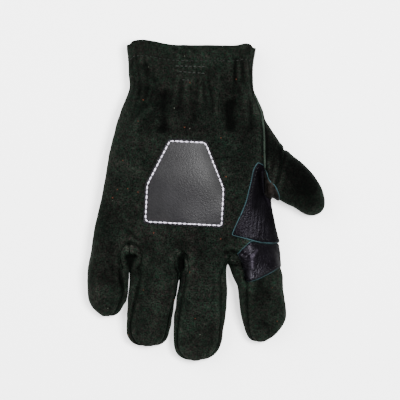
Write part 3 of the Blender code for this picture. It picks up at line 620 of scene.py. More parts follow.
# Folds and dents of the back, as in the solids: places are shares of PALM_WIDTH towards the thumb
# and of BODY_LENGTH from the cuff, the reach is in PALM_WIDTHs and the depth in metres.
Fold = namedtuple("Fold", "across along across_end along_end reach depth")
FOLDS = rows(
    Fold,
    (-0.246, 0.106, -0.185, 0.173, 0.030, 0.0012), (-0.126, 0.235, -0.126, 0.392, 0.040, 0.0018),
    (0.018, 0.178, 0.018, 0.292, 0.028, -0.0009), (0.068, 0.180, 0.062, 0.349, 0.025, 0.0011),
    (0.197, 0.149, 0.197, 0.311, 0.032, -0.0010), (0.272, 0.280, 0.283, 0.378, 0.040, 0.0028),
    (0.363, 0.206, 0.363, 0.373, 0.030, -0.0008), (-0.246, 0.325, -0.308, 0.392, 0.030, -0.0010),
    (0.170, 0.905, 0.235, 0.900, 0.070, 0.0014), (-0.060, 0.930, -0.050, 0.990, 0.060, 0.0010),
)

# Finer creases of the upper side: places and reach in pixels, height in metres, raised or sunk
Crease = namedtuple("Crease", "x y x_end y_end reach height")
CREASES = rows(
    Crease,
    (216, 91, 216, 116, 2.6, 0.0008), (188, 86, 188, 104, 2.6, 0.0004), (151, 109, 136, 126, 3.5, 0.0008),
    (244, 96, 246, 124, 2.8, 0.0008), (163, 108, 162, 128, 6.0, -0.0006),
    (230, 106, 230, 122, 5.0, -0.0010), (236, 62, 234, 92, 2.4, -0.0009),
    (243, 64, 240, 92, 2.4, -0.0007), (205, 84, 203, 110, 2.2, -0.0006), (177, 84, 175, 106, 2.2, 0.0006),
    (146, 66, 153, 80, 3.0, -0.0010), (136, 74, 140, 98, 2.4, -0.0006),
    (262, 172, 264, 194, 4.2, -0.0044), (281, 150, 272, 167, 1.6, -0.0012),
    (276, 152, 268, 168, 2.4, 0.0006), (288, 172, 300, 184, 7.0, -0.0012),
    (129, 231, 138, 239, 1.4, -0.0008), (131, 229, 140, 236, 1.4, 0.0005),
    (126, 238, 134, 241, 2.0, 0.0005), (127, 246, 127.5, 252, 1.9, 0.0020),
    (132.3, 246, 132, 252, 1.9, 0.0020), (122.5, 249, 123.5, 256, 2.2, 0.0008),
    (137.5, 250, 137.5, 257, 2.2, 0.0008), (128, 256.0, 136, 256.0, 1.7, -0.0032),
    (131, 257, 130.5, 266, 1.5, -0.0016), (150, 246, 150, 268, 5.0, 0.0006),
    (173, 260, 178.5, 251, 2.6, 0.0012), (178.5, 251, 187.5, 261, 2.6, 0.0013),
    (182.5, 256, 181.0, 268, 2.4, -0.0028), (188, 262, 191, 272, 2.8, 0.0006),
    (225, 253, 232, 250.5, 1.6, -0.0010), (232, 250.5, 239.5, 255, 1.6, -0.0012),
    (239.5, 255, 244, 265, 1.6, -0.0016), (227.4, 261, 227.0, 256, 1.6, 0.0010),
    (230.8, 262, 231.2, 255, 1.5, 0.0014), (234.2, 264, 235.6, 257, 1.5, 0.0014),
    (237.4, 267, 240.0, 261, 1.6, 0.0012), (229.2, 263, 229.0, 256, 1.0, -0.0014),
    (232.4, 264, 233.4, 256, 1.0, -0.0018), (235.8, 266, 238.0, 259, 1.0, -0.0018),
    (242.5, 264, 246, 280, 2.2, -0.0026), (249, 248, 249.5, 288, 7.0, 0.0022),
    (270, 246, 273, 276, 10.0, -0.0022), (262, 322, 268, 328, 5.0, -0.0008),
    (205, 236, 220, 240, 6.0, -0.0006),
)

# Puckers: ripples that run out from a place, in pixels, with their count in a full turn
Pucker = namedtuple("Pucker", "x y reach count turn height")
PUCKERS = rows(
    Pucker,
    (130, 250, 6.5, 6, 20.0, 0.0005), (184, 262, 5.0, 5, 0.0, 0.0003), (236, 262, 7.0, 7, 10.0, 0.0005),
)

# Here a seam is stretched flat, or a patch is laid over it
FlatSeam = namedtuple("FlatSeam", "x y x_end y_end reach")
FLAT_SEAMS = rows(
    FlatSeam,
    (257, 40, 255, 96, 8.0), (274, 204, 283, 284, 9.0),
)

# Painted shade and painted highlights on the suede, with some darker and paler patches of the nap
# among them: shade in hollows, in crotch valleys and over the thumb, highlights on crotch pads and
# finger tips. Places are in pixels; they were placed and fitted to the brightness of the one
# photograph.
Shade = namedtuple("Shade", "x y x_end y_end reach change")
PAINTED_SHADING_AND_NAP_PATCHES = rows(
    Shade,
    (158, 102, 212, 112, 20, -0.34), (156, 110, 162, 126, 10, -0.30), (230, 110, 236, 122, 17, -0.48),
    (172, 66, 172, 76, 4, -0.30), (238, 60, 239, 84, 7, -0.42), (247, 64, 247, 84, 5, -0.20),
    (244, 98, 247, 122, 5, -0.28), (152, 131, 214, 131, 9, -0.28), (231, 128, 232, 140, 5, -0.40),
    (190, 90, 190, 104, 4, -0.25), (233, 62, 230, 90, 11, -0.18), (146, 72, 146, 88, 9, -0.30),
    (132, 52, 132, 92, 8, -0.18), (147, 120, 148, 160, 9, -0.15), (248, 134, 242, 176, 12, -0.32),
    (266, 138, 266, 156, 8, -0.35), (284, 160, 296, 186, 18, -0.80), (304, 164, 314, 196, 11, -0.55),
    (110, 208, 109, 286, 11, -0.52), (138, 250, 140, 320, 8, -0.22), (150, 244, 151, 262, 9, -0.18),
    (188, 246, 214, 247, 7, -0.32), (258, 280, 264, 292, 7, -0.40), (96, 238, 92, 276, 9, -0.25),
    (150, 244, 150, 270, 10, -0.20), (131, 258, 134, 304, 9, -0.45), (198, 242, 202, 256, 12, -0.45),
    (179, 264, 176, 304, 8, -0.45), (234, 264, 241, 296, 10, -0.50), (256, 286, 266, 312, 12, -0.25),
    (222, 292, 229, 306, 8, -0.25), (178, 56, 212, 58, 9, 0.25), (182, 66, 192, 76, 11, 0.30),
    (98, 296, 102, 306, 10, 0.30), (154, 300, 154, 332, 9, 0.40), (204, 304, 204, 340, 10, 0.06),
    (184, 356, 210, 356, 9, 0.35), (222, 246, 226, 256, 10, 0.30), (258, 98, 262, 116, 6, 0.25),
    (140, 142, 128, 170, 12, 0.20), (262, 326, 270, 340, 9, -0.15), (300, 158, 314, 178, 13, -0.60),
    (296, 176, 312, 196, 10, -0.30), (152, 98, 190, 118, 13, -0.25), (244, 106, 252, 124, 9, -0.30),
    (268, 128, 276, 152, 8, -0.25), (114, 244, 114, 286, 7, -0.35), (144, 240, 152, 250, 8, -0.20),
    (293, 282, 292, 318, 5, -0.35), (160, 334, 156, 344, 6, -0.25), (90, 270, 92, 290, 6, -0.25),
    (127.5, 247, 127.8, 252, 1.9, 1.40), (132.0, 246, 131.8, 252, 1.9, 1.40),
    (129.5, 245, 129.6, 251, 0.9, -0.60), (119.5, 250, 120.0, 282, 1.6, -0.50),
    (125.5, 242, 136.5, 245, 1.6, -0.50), (121, 252, 124, 244, 2.5, 0.40),
    (135, 243, 139, 252, 2.5, 0.40), (173, 262, 178.5, 252, 2.2, 0.90),
    (178.5, 252, 187.5, 264, 2.2, 0.90), (187.5, 264, 189.0, 280, 2.2, 0.50),
    (181.5, 258, 178.0, 288, 4.6, -0.95), (180.5, 266, 179.0, 288, 3.0, -0.60),
    (130.5, 262, 129, 276, 2.0, -0.60), (229, 265, 233, 274, 1.8, -0.80),
    (225, 253, 232, 250.5, 1.4, -0.60), (232, 250.5, 239.5, 255, 1.4, -0.90),
    (239.5, 255, 244, 265, 1.5, -0.90), (227.4, 261, 227.0, 256, 1.3, 0.80),
    (230.6, 262, 230.8, 256, 1.3, 1.00), (233.8, 262, 234.6, 257, 1.2, 2.00),
    (237.4, 266, 239.4, 261, 1.3, 0.60), (229.2, 263, 229.0, 256, 0.9, -0.70),
    (232.4, 264, 233.2, 256, 0.9, -1.00), (235.8, 266, 237.8, 258, 0.9, -1.00),
)

# The badge holds the back smooth under it: middle and half-size in pixels
STIFF = ((185, 184), (41, 46))

# Unevenness of the whole skin: height, wavelength and seed
BUMPS = ((0.00030, 0.030, 3), (0.00022, 0.013, 5), (0.00008, 0.006, 8))
NAP_HOLLOW = 0.00011  # depth of a hollow that lowers the tone by 1
SHADE_SWAY = 0.0040  # how far the edges of broad shades wander
PLEATS = 38  # round the wrist
PLEAT_HEIGHT = 0.00040
SEAM_DEPTH = 0.0010
SEAM_REACH = 0.0014


def spot(x, y):
    """X and Y in metres of places in pixels of the photograph."""
    return np.stack([x - PHOTO_ORIGIN[0], PHOTO_ORIGIN[1] - y], -1) * PIXEL


def from_segment(places, start, end):
    """How far these places lie from the line between two others."""
    run = end - start
    t = np.clip((places - start) @ run / (run @ run + 1e-12), 0, 1)
    return np.linalg.norm(places - start - t[:, None] * run, axis=1)


def closeness(places, row):
    """1 on a table row's line, fading as a bell curve over its reach. The row is in pixels."""
    apart = from_segment(places, spot(row.x, row.y), spot(row.x_end, row.y_end)) / PIXEL
    return bell(apart / row.reach)


def relief(skin, normals, edges):
    """How far each point of the skin is moved out: folds, creases, puckers, pleats and seams.

    A fold or crease is a bell curve across its line, a pucker a cosine round its place that fades
    with distance, the pleats are a bent sine round the wrist, and a seam is a narrow bell."""
    places = skin.points[:, :2]
    above = ease((normals[:, 2] + 0.1) / 0.4)
    out = np.zeros(len(places))
    for f in FOLDS:
        ends = (
            np.array([PALM_WIDTH * x, CUFF_TO_ORIGIN - BODY_LENGTH * v])
            for x, v in ((f.across, f.along), (f.across_end, f.along_end))
        )
        out -= f.depth * bell(from_segment(places, *ends) / (PALM_WIDTH * f.reach))
    for c in CREASES:
        out += c.height * closeness(places, c)
    for p in PUCKERS:
        x, y = ((places - spot(p.x, p.y)) / (p.reach * PIXEL)).T
        far = np.hypot(x, y)
        wave = np.cos(p.count * (np.arctan2(y, x) - math.radians(p.turn)))
        out += p.height * wave * np.minimum(far, 1) * bell(far)
    out *= above

    count = skin.loops.shape[1]
    round_way = np.arange(count) / count
    v = skin.shares[:, None]
    bend = 0.3 * np.sin(2 * np.pi * (3 * round_way + 2.3 * v)) + 0.2 * np.sin(2 * np.pi * 7 * round_way)
    uneven = 0.65 + 0.35 * np.sin(2 * np.pi * 5 * round_way)
    wave = np.sin(2 * np.pi * (PLEATS * round_way + bend)) * uneven
    fade = bell((v - 0.17) / 0.13) * ease(v / 0.03)
    out[skin.loops] += PLEAT_HEIGHT * wave * fade

    bumps = sum(height * unevenness(skin.points, *wave) for height, *wave in BUMPS)
    middle, reach = (spot(*pair) for pair in STIFF)
    from_middle = np.abs((places - middle) / (reach - spot(0, 0))).max(1)
    out += bumps * np.where(above > 0.5, ease((from_middle - 0.9) / 0.2), 1.0)

    owner = np.repeat(skin.owners, 3)
    low, high = np.full(len(places), len(PIECES)), np.zeros(len(places), int)
    np.minimum.at(low, skin.faces.ravel(), owner)
    np.maximum.at(high, skin.faces.ravel(), owner)
    skin.seam = spread(low != high, skin.points, edges, 8)
    seam = -SEAM_DEPTH * bell(skin.seam / SEAM_REACH)
    seam += 0.35 * SEAM_DEPTH * bell((skin.seam - 2.6 * SEAM_REACH) / (1.1 * SEAM_REACH))
    for f in FLAT_SEAMS:
        seam *= ease(2 * (1 - closeness(places, f)) - 0.7)
    return out + seam


def split(points, faces, value, *layers):
    """Cuts the triangles along the line where value is 0, by a new point on each edge that crosses.

    Returns the points, the triangles, the triangle each came from, and the value and each layer at
    every point. Values very near 0 count as just above it, which avoids slivers."""
    value = np.where(np.abs(value) < 1e-5, 1e-5, value)
    corner = value[faces] > 0
    count = corner.sum(1)
    odd = np.where(count == 1, corner.argmax(1), (~corner).argmax(1))
    crossed = (count == 1) | (count == 2)
    turn = (odd[crossed, None] + np.arange(3)) % 3
    a, b, c = np.take_along_axis(faces[crossed], turn, 1).T
    pairs = np.sort(np.concatenate([np.stack([a, b], 1), np.stack([a, c], 1)]), axis=1)
    pairs, number = np.unique(pairs, axis=0, return_inverse=True)
    ab, ac = len(points) + number.ravel().reshape(2, -1)
    low, high = pairs.T
    share = value[low] / (value[low] - value[high])
    mixed = []
    for layer in (points, value, *layers):
        at = share.reshape(-1, *[1] * (layer.ndim - 1))
        mixed.append(np.concatenate([layer, layer[low] * (1 - at) + layer[high] * at]))
    mixed[1][len(points) :] = 0.0
    origin = np.flatnonzero(crossed)
    cut = [np.stack(corners, 1) for corners in ((a, ab, ac), (ab, b, c), (ab, c, ac))]
    faces = np.concatenate([faces[~crossed], *cut])
    source = np.concatenate([np.flatnonzero(~crossed), origin, origin, origin])
    return mixed[0], faces, source, mixed[1], *mixed[2:]


# Above each crotch the strip between two fingers ends in an arch: its middle in pixels, half its
# width and length there, and its turn in degrees towards the little finger
Arch = namedtuple("Arch", "piece x y half_width half_length turn")
ARCHES = rows(
    Arch,
    (LITTLE_RING, 131.0, 257.0, 10.5, 14.0, 0.0), (RING_MIDDLE, 181.5, 263.0, 6.5, 12.0, 8.0),
    (MIDDLE_INDEX, 235.5, 266.0, 10.5, 15.0, -32.0),
)


def add_arches(skin):
    """Gives the upper side round each crotch to the strip between its two fingers."""
    above = normals_of(skin.points, skin.faces)[:, 2] > 0.05
    for arch in ARCHES:
        x, y = (skin.points[:, :2] - spot(arch.x, arch.y)).T / PIXEL
        turn = math.radians(arch.turn)
        x, y = x * math.cos(turn) + y * math.sin(turn), y * math.cos(turn) - x * math.sin(turn)
        value = 1 - np.hypot(x / arch.half_width, y / arch.half_length)
        value = np.where(above, value * arch.half_width * PIXEL, -1.0)
        skin.points, skin.faces, source, value, skin.slack, above = split(
            skin.points, skin.faces, value, skin.slack, above.astype(float)
        )
        above = above > 0.99
        skin.owners, skin.keys = skin.owners[source], skin.keys[source]
        inside = value[skin.faces].min(1) >= 0
        skin.owners = np.where(inside & (skin.owners == BACK), arch.piece, skin.owners)


def finished_skin():
    """The skin, relaxed where the stalls leave the body, with its relief and its normals."""
    skin = build_skin()
    skin.faces = turned_outward(skin.points, skin.faces)
    edges = edges_of(skin.faces)
    for _ in range(RELAXING):
        mean = neighbour_mean(skin.points, edges)
        skin.points += 0.5 * skin.slack[:, None] * (mean - skin.points)
    add_arches(skin)
    edges = edges_of(skin.faces)
    skin.normals = normals_of(skin.points, skin.faces)
    skin.points += relief(skin, skin.normals, edges)[:, None] * skin.normals
    skin.points[:, 2] = np.maximum(skin.points[:, 2], rest_level(skin.points[:, 1]))
    skin.normals = normals_of(skin.points, skin.faces)

    # Tone from the relief: what is sunk is darkened as painted shade, and what stands out is worn
    # pale. The painted shade and highlights of the table are added on top.
    hollow = ((neighbour_mean(skin.points, edges) - skin.points) * skin.normals).sum(1)
    for _ in range(3):
        hollow = neighbour_mean(hollow[:, None], edges)[:, 0]
    skin.tone = np.clip(-hollow / NAP_HOLLOW, -0.5, 1)
    bent = np.stack([unevenness(skin.points, 0.022, seed) for seed in (21, 22)], 1)
    for shade in PAINTED_SHADING_AND_NAP_PATCHES:
        places = skin.points[:, :2] + SHADE_SWAY * ease((shade.reach - 2) / 10) * bent
        skin.tone += shade.change * closeness(places, shade)
    return skin


def border_of(faces):
    """Edges that only one triangle uses, each the way that its triangle runs."""
    pairs = sides_of(faces)
    _, index, counts = np.unique(np.sort(pairs, axis=1), axis=0, return_index=True, return_counts=True)
    return pairs[index[counts == 1]]


def walled(points, normals, faces, rings):
    """A sheet as a closed solid, and the number of its triangles on the outside.

    Each ring gives a height above the sheet and how far the border is drawn in there. The first
    carries the outside and the last the inside; those between round the edge."""
    used, faces = np.unique(faces, return_inverse=True)
    faces = faces.reshape(-1, 3)
    points, normals = points[used], normals[used]
    border = border_of(faces)
    a, b = border.T
    way = np.cross(normals[a] + normals[b], points[b] - points[a])
    inward = unit(summed(border.T.ravel(), np.concatenate([way, way]), len(points)))
    rim = np.unique(border)
    numbers, layers, first = [], [], 0
    for i, (height, draw) in enumerate(rings):
        whole = i in (0, len(rings) - 1)
        kept = np.arange(len(points)) if whole else rim
        height = height[kept, None] if np.ndim(height) else height
        layers.append(points[kept] + normals[kept] * height + inward[kept] * draw)
        number = np.zeros(len(points), int)
        number[kept] = first + np.arange(len(kept))
        first += len(kept)
        numbers.append(number)
    sides = [numbers[0][faces], numbers[-1][faces[:, ::-1]]]
    for upper, lower in zip(numbers[:-1], numbers[1:]):
        sides.append(np.stack([upper[b], upper[a], lower[a]], 1))
        sides.append(np.stack([upper[b], lower[a], lower[b]], 1))
    return np.concatenate(layers), np.concatenate(sides), used


def piece(name, points, faces, material, slot, tone=None):
    """An object of these triangles with this material, which rides on the glove. The slot is not used."""
    mesh = mesh_of(name, points, faces)
    mesh.materials.append(material)
    if tone is not None:
        layer = mesh.attributes.new("tone", "FLOAT", "POINT")
        layer.data.foreach_set("value", tone.astype(np.float32))
    mesh.shade_smooth()
    made = bpy.data.objects.new(name, mesh)
    bpy.context.scene.collection.objects.link(made)
    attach(made, "root")
    return made


def node(tree, kind, inputs=None, **settings):
    """A shader node with these settings. An input is a value or another node's socket."""
    made = tree.nodes.new("ShaderNode" + kind)
    for key, value in settings.items():
        setattr(made, key, value)
    for key, value in (inputs or {}).items():
        if isinstance(value, bpy.types.NodeSocket):
            tree.links.new(value, made.inputs[key])
        else:
            made.inputs[key].default_value = value
    return made


def material_of(name, colour, roughness, **sockets):
    """A material, its tree and its shader, with the values that are the same all over it."""
    material = bpy.data.materials.new(name)
    material.use_nodes = True
    shader = material.node_tree.nodes["Principled BSDF"]
    shader.inputs["Base Color"].default_value = (*colour, 1.0)
    shader.inputs["Roughness"].default_value = roughness
    for key, value in sockets.items():
        shader.inputs[key.replace("_", " ")].default_value = value
    return material, material.node_tree, shader


def multiplied(tree, colour, *factors):
    """A colour times each of these factors."""
    for factor in factors:
        inputs = {0: colour, "Scale": factor}
        colour = node(tree, "VectorMath", inputs, operation="SCALE").outputs[0]
    return colour


def ranged(tree, value, low, high, start=0.0, end=1.0):
    """A value from start to end brought to between low and high."""
    inputs = {"Value": value, "From Min": start, "From Max": end, "To Min": low, "To Max": high}
    return node(tree, "MapRange", inputs).outputs["Result"]


def group_of(name, inputs, outputs):
    """An empty node group with these named inputs and outputs, and its two end nodes."""
    tree = bpy.data.node_groups.new(name, "ShaderNodeTree")
    for label, kind, value in inputs:
        socket = tree.interface.new_socket(name=label, in_out="INPUT", socket_type="NodeSocket" + kind)
        if value is not None:
            socket.default_value = value
    for label, kind in outputs:
        tree.interface.new_socket(name=label, in_out="OUTPUT", socket_type="NodeSocket" + kind)
    return tree, tree.nodes.new("NodeGroupInput").outputs, tree.nodes.new("NodeGroupOutput").inputs


def mottle_group():
    """Patches: a smooth noise, and a factor between Low and High that follows it."""
    tree, given, made = group_of(
        "mottle",
        (
            ("Place", "Vector", None),
            ("Scale", "Float", 500.0),
            ("Detail", "Float", 3.0),
            ("Low", "Float", 0.8),
            ("High", "Float", 1.2),
        ),
        (("Factor", "Float"), ("Height", "Float")),
    )
    inputs = {"Vector": given["Place"], "Scale": given["Scale"], "Detail": given["Detail"]}
    noise = node(tree, "TexNoise", inputs).outputs[0]
    tree.links.new(ranged(tree, noise, given["Low"], given["High"], 0.3, 0.7), made["Factor"])
    tree.links.new(noise, made["Height"])
    return tree


def relief_group():
    """Bumps of two sizes on top of each other."""
    tree, given, made = group_of(
        "relief",
        (
            ("Broad", "Float", None),
            ("Broad Depth", "Float", 0.0005),
            ("Fine", "Float", None),
            ("Fine Depth", "Float", 0.0002),
        ),
        (("Normal", "Vector"),),
    )
    broad = node(tree, "Bump", {"Height": given["Broad"], "Distance": given["Broad Depth"]}).outputs[0]
    inputs = {"Height": given["Fine"], "Distance": given["Fine Depth"], "Normal": broad}
    tree.links.new(node(tree, "Bump", inputs).outputs[0], made["Normal"])
    return tree


MOTTLE, RELIEF = mottle_group(), relief_group()


def mottle(tree, where, scale, low, high, detail=3.0):
    """The factor and the height of the mottle group, at this scale."""
    inputs = {"Place": where, "Scale": scale, "Detail": detail, "Low": low, "High": high}
    return node(tree, "Group", inputs, node_tree=MOTTLE).outputs[:2]


def add_relief(tree, shader, broad, broad_depth, fine, fine_depth):
    """Gives the shader bumps of two sizes. The depths are in metres."""
    inputs = {"Broad": broad, "Broad Depth": broad_depth, "Fine": fine, "Fine Depth": fine_depth}
    made = node(tree, "Group", inputs, node_tree=RELIEF)
    tree.links.new(made.outputs["Normal"], shader.inputs["Normal"])


def places_of(tree):
    """Object coordinates, which every pattern is laid out in."""
    return node(tree, "TexCoord").outputs["Object"]


def tone_of(tree):
    """The piece's tone attribute at each point, which carries its painted shade and highlights along
    with worn places: low where it is darker or dull, high where it is paler.
    """
    return node(tree, "Attribute", attribute_name="tone").outputs["Fac"]


def suede_material():
    """Black suede with a green-brown cast: clumps of nap, worn pale on ridges, and stray fibres. Its
    tone attribute darkens the colour as painted shade and lifts it as painted highlight.

    A fibre is a dot at the middle of a few cells of a Voronoi pattern, orange or off-white."""
    material, tree, shader = material_of(
        "suede", (0.0040, 0.0048, 0.0040), 0.92,
        Sheen_Weight=0.03, Sheen_Roughness=0.45, Sheen_Tint=(0.30, 0.48, 0.34, 1.0),
        Specular_IOR_Level=0.025,
    )
    where = places_of(tree)
    nap, nap_height = mottle(tree, where, 980.0, 0.0, 2.60, 4.0)
    clumps, clump_height = mottle(tree, where, 300.0, 0.62, 1.42)
    patches, _ = mottle(tree, where, 60.0, 0.70, 1.34, 2.0)
    grains, _ = mottle(tree, where, 700.0, 0.0, 0.90, 2.0)
    areas, _ = mottle(tree, where, 50.0, -0.06, 0.18, 2.0)
    hue = node(tree, "Math", {0: grains, 1: areas}).outputs[0]
    tone = tone_of(tree)
    green, brown = (0.0012, 0.0037, 0.0022, 1.0), (0.0037, 0.0027, 0.0026, 1.0)
    colour = node(tree, "Mix", {0: hue, 6: green, 7: brown}, data_type="RGBA").outputs[2]
    # Painted shade and highlights: the tone attribute scales the colour from 0.12 to 3.64 times.
    colour = multiplied(tree, colour, nap, clumps, patches, ranged(tree, tone, 0.12, 3.64, -1.0, 3.0))
    cells = node(tree, "TexVoronoi", {"Vector": where, "Scale": 250.0})
    near = node(tree, "Math", {0: cells.outputs["Distance"], 1: 0.12}, operation="LESS_THAN").outputs[0]
    kind = node(tree, "SeparateColor", {0: cells.outputs["Color"]}).outputs
    few = node(tree, "Math", {0: kind[0], 1: 0.93}, operation="GREATER_THAN").outputs[0]
    white = node(tree, "Math", {0: kind[1], 1: 0.75}, operation="GREATER_THAN").outputs[0]
    inputs = {0: white, 6: (0.055, 0.016, 0.008, 1.0), 7: (0.034, 0.037, 0.029, 1.0)}
    fibre = node(tree, "Mix", inputs, data_type="RGBA").outputs[2]
    here = node(tree, "Math", {0: near, 1: few}, operation="MULTIPLY").outputs[0]
    colour = node(tree, "Mix", {0: here, 6: colour, 7: fibre}, data_type="RGBA").outputs[2]
    tree.links.new(colour, shader.inputs["Base Color"])
    add_relief(tree, shader, clump_height, 0.0006, nap_height, 0.0005)
    return material


suede = suede_material()
skin = finished_skin()

# Heights and draws of a panel's edge, from its outside round to its inside
PANEL_RINGS = (
    (0.0, 0.00040),
    (-0.00035, 0.00018),
    (0.00040 - SUEDE_WALL, 0.00003),
    (-SUEDE_WALL, 0.00025),
)
for number, name in enumerate(NODES):
    panel = skin.faces[skin.owners == number]
    points, faces, used = walled(skin.points, skin.normals, panel, PANEL_RINGS)
    rest = len(points) - len(used)
    # The inside faces of each panel get a low tone: painted shade inside the glove.
    tone = np.concatenate([skin.tone[used], np.full(rest, -0.4)])
    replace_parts(piece(name + "_suede", points, faces, suede, "suede", tone), name)

# Hem of the cuff. The suede's edge is turned in and sewn down inside, with one row of stitches that
# shows outside; further in, short rows of stitches hold the elastic that gathers the wrist.

HEM_WALL = 0.0015
HEM_TOP = -(SUEDE_WALL + SEAM_GAP)
HEM_RINGS = (
    (HEM_TOP, 0.0003),
    (HEM_TOP - 0.0004, 0.0),
    (HEM_TOP + 0.0004 - HEM_WALL, 0.0),
    (HEM_TOP - HEM_WALL, 0.0003),
)
THREAD_SIDES = 6
Row = namedtuple("Row", "x y x_end y_end")
HEM_STITCH = (0.0022, 0.0014, 0.00030)  # length, space to the next, and radius
ELASTIC_STITCH = (0.0026, 0.0010, 0.00042)
ELASTIC_ROWS = (Row(176, 67.0, 206, 67.8), Row(179, 72.6, 206, 74.5), Row(182, 80.8, 191, 81.2))


def thread_material(name, colour, roughness=0.6):
    """Twisted thread: its colour is darker between the strands."""
    material, tree, shader = material_of(name, colour, roughness, Specular_IOR_Level=0.15)
    where = places_of(tree)
    strands, height = mottle(tree, where, 1500.0, 0.6, 1.35, 2.0)
    stains, _ = mottle(tree, where, 150.0, 0.75, 1.25, 2.0)
    tree.links.new(multiplied(tree, colour, strands, stains), shader.inputs["Base Color"])
    add_relief(tree, shader, height, 0.0003, height, 0.0001)
    return material


def way_along(line):
    """How far each point of a line lies from its start."""
    return np.concatenate([[0.0], np.cumsum(np.linalg.norm(np.diff(line, axis=0), axis=1))])


def at_way(far, values, at):
    """Values given at these distances along a line, at other distances."""
    return np.stack([np.interp(at, far, column) for column in values.T], -1)


def stitches(name, line, ups, length, space, radius, material, slot="suede"):
    """A row of stitches along a line: spindles, each a little bowed over the sheet.

    A stitch is a ring swept along its length, with a radius of a half sine and a bow of a sine."""
    far = way_along(line)
    count = max(1, round(far[-1] / (length + space)))
    pitch = far[-1] / count
    wobble = np.random.default_rng(count).uniform(-0.06, 0.06, (2, count)) * pitch
    starts = np.arange(count) * pitch + wobble[0]
    ends = np.arange(count) * pitch + pitch * length / (length + space) + wobble[1]
    head, tail = at_way(far, line, starts), at_way(far, line, ends)
    up = unit(at_way(far, ups, (starts + ends) / 2))
    across = unit(np.cross(tail - head, up))
    t = np.linspace(0, 1, 7)
    fat = radius * np.sin(np.pi * np.clip(t, 0.06, 0.94)) ** 0.5
    rise = radius * (0.7 * np.sin(np.pi * t) - 0.3)
    angle = 2 * np.pi * np.arange(THREAD_SIDES) / THREAD_SIDES
    axis = head[:, None] * (1 - t[:, None]) + tail[:, None] * t[:, None] + up[:, None] * rise[:, None]
    ring = across[:, None] * np.cos(angle)[:, None] + up[:, None] * np.sin(angle)[:, None]
    points = (axis[:, :, None] + ring[:, None] * fat[:, None, None]).reshape(-1, 3)
    ids = np.arange(len(points)).reshape(count, len(t), THREAD_SIDES)
    near, further = ids[:, :-1], ids[:, 1:]
    quads = np.stack([near, np.roll(near, -1, 2), np.roll(further, -1, 2), further], -1).reshape(-1, 4)
    fans = [end[:, [0, i, i + 1]] for end in (ids[:, 0], ids[:, -1]) for i in range(1, THREAD_SIDES - 1)]
    faces = np.concatenate([quads[:, [0, 1, 2]], quads[:, [0, 2, 3]], *fans])
    return piece(name, points, turned_outward(points, faces), material, slot)


def laid_line(tree, line):
    """Points of the surface below a line of places, and the normals there."""
    hits = [tree.ray_cast(Vector((x, y, 0.1)), Vector((0, 0, -1))) for x, y in line]
    return tuple(np.array([hit[i] for hit in hits if hit[0]]) for i in (0, 1))


def straight_line(tree, row, count):
    """A row's line, laid on the surface as this many points."""
    start, end = spot(row.x, row.y), spot(row.x_end, row.y_end)
    return laid_line(tree, start + np.linspace(0, 1, count)[:, None] * (end - start))


black_thread = thread_material("black_thread", (0.0020, 0.0021, 0.0022))
grey_thread = thread_material("grey_thread", (0.0050, 0.0060, 0.0051))
worn_thread = thread_material("worn_thread", (0.0120, 0.0134, 0.0120))

band = np.column_stack([skin.loops, skin.loops[:, 0]])[: skin.hem + 1]
hem = Skin()
hem.grid(band, 0, "hem")
hem_faces = hem.faces[0]
outward = normals_of(skin.points, hem_faces)[band] * skin.normals[band]
if outward.sum() < 0:
    hem_faces = hem_faces[:, ::-1]
points, faces, _ = walled(skin.points, skin.normals, hem_faces, HEM_RINGS)
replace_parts(piece("cuff_hem_suede", points, faces, suede, "suede"), "cuff_hem")
stitches("hem_stitches", skin.points[band[-1]], skin.normals[band[-1]], *HEM_STITCH, grey_thread)
suede_tree = BVHTree.FromPolygons(skin.points.tolist(), skin.faces.tolist())
for number, row in enumerate(ELASTIC_ROWS, 1):
    line = straight_line(suede_tree, row, 30)
    stitches(f"elastic_stitches_{number}", *line, *ELASTIC_STITCH, worn_thread)

# Side welt. A pale raw strip of split leather, caught in the seam between back and gusset.

WELT_RADIUS = 0.0008
WELT_SPAN = (0.225, 0.582)
WELT_ROWS = 96
WELT_OVER = 0.0008  # how far its low end rises over the saddle, from this share of the body on
OVER_START, OVER_RUN = 0.550, 0.020
STRIP_SIDES = 12


def fibre_material(name, colour, roughness):
    """Raw cut leather: short fibres, and darker where its tone is low, which is painted shade where
    the edge lies hidden in folds, and dirt in a few places.
    """
    material, tree, shader = material_of(name, colour, roughness, Specular_IOR_Level=0.10)
    where = places_of(tree)
    fibres, height = mottle(tree, where, 1100.0, 0.75, 1.25, 4.0)
    stains, _ = mottle(tree, where, 140.0, 0.72, 1.25, 2.0)
    tone = tone_of(tree)
    # The tone darkens the colour as painted shade.
    tint = multiplied(tree, colour, fibres, stains, ranged(tree, tone, 0.06, 1.0))
    tree.links.new(tint, shader.inputs["Base Color"])
    add_relief(tree, shader, height, 0.0002, height, 0.0001)
    return material


def strip(name, line, ups, half_width, half_height, material, tone):
    """An oval strip along a line of points, with a slow swell and rounded ends."""
    count = len(line)
    t = np.linspace(0, 1, count)
    along = np.gradient(line, axis=0)
    side = unit(np.cross(ups, along))
    up = unit(np.cross(along, side))
    angles = 2 * np.pi * np.arange(STRIP_SIDES) / STRIP_SIDES
    swell = 1 + 0.05 * np.sin(47 * t) + 0.04 * np.sin(110 * t + 1)
    swell = swell * np.clip(np.minimum(t, 1 - t) * count / 3 + 0.25, 0, 1) ** 0.5
    ring = side[:, None] * half_width * np.cos(angles)[:, None]
    ring = ring + up[:, None] * half_height * np.sin(angles)[:, None]
    points = (line[:, None] + ring * swell[:, None, None]).reshape(-1, 3)
    ids = np.arange(len(points)).reshape(count, STRIP_SIDES)
    body = Skin()
    body.grid(np.column_stack([ids, ids[:, :1]]), 0, "strip")
    fans = [end[[0, i, i + 1]] for end in (ids[0], ids[-1]) for i in range(1, STRIP_SIDES - 1)]
    faces = turned_outward(points, np.concatenate([body.faces[0], fans]))
    return piece(name, points, faces, material, "raw_edge", np.repeat(tone, STRIP_SIDES))


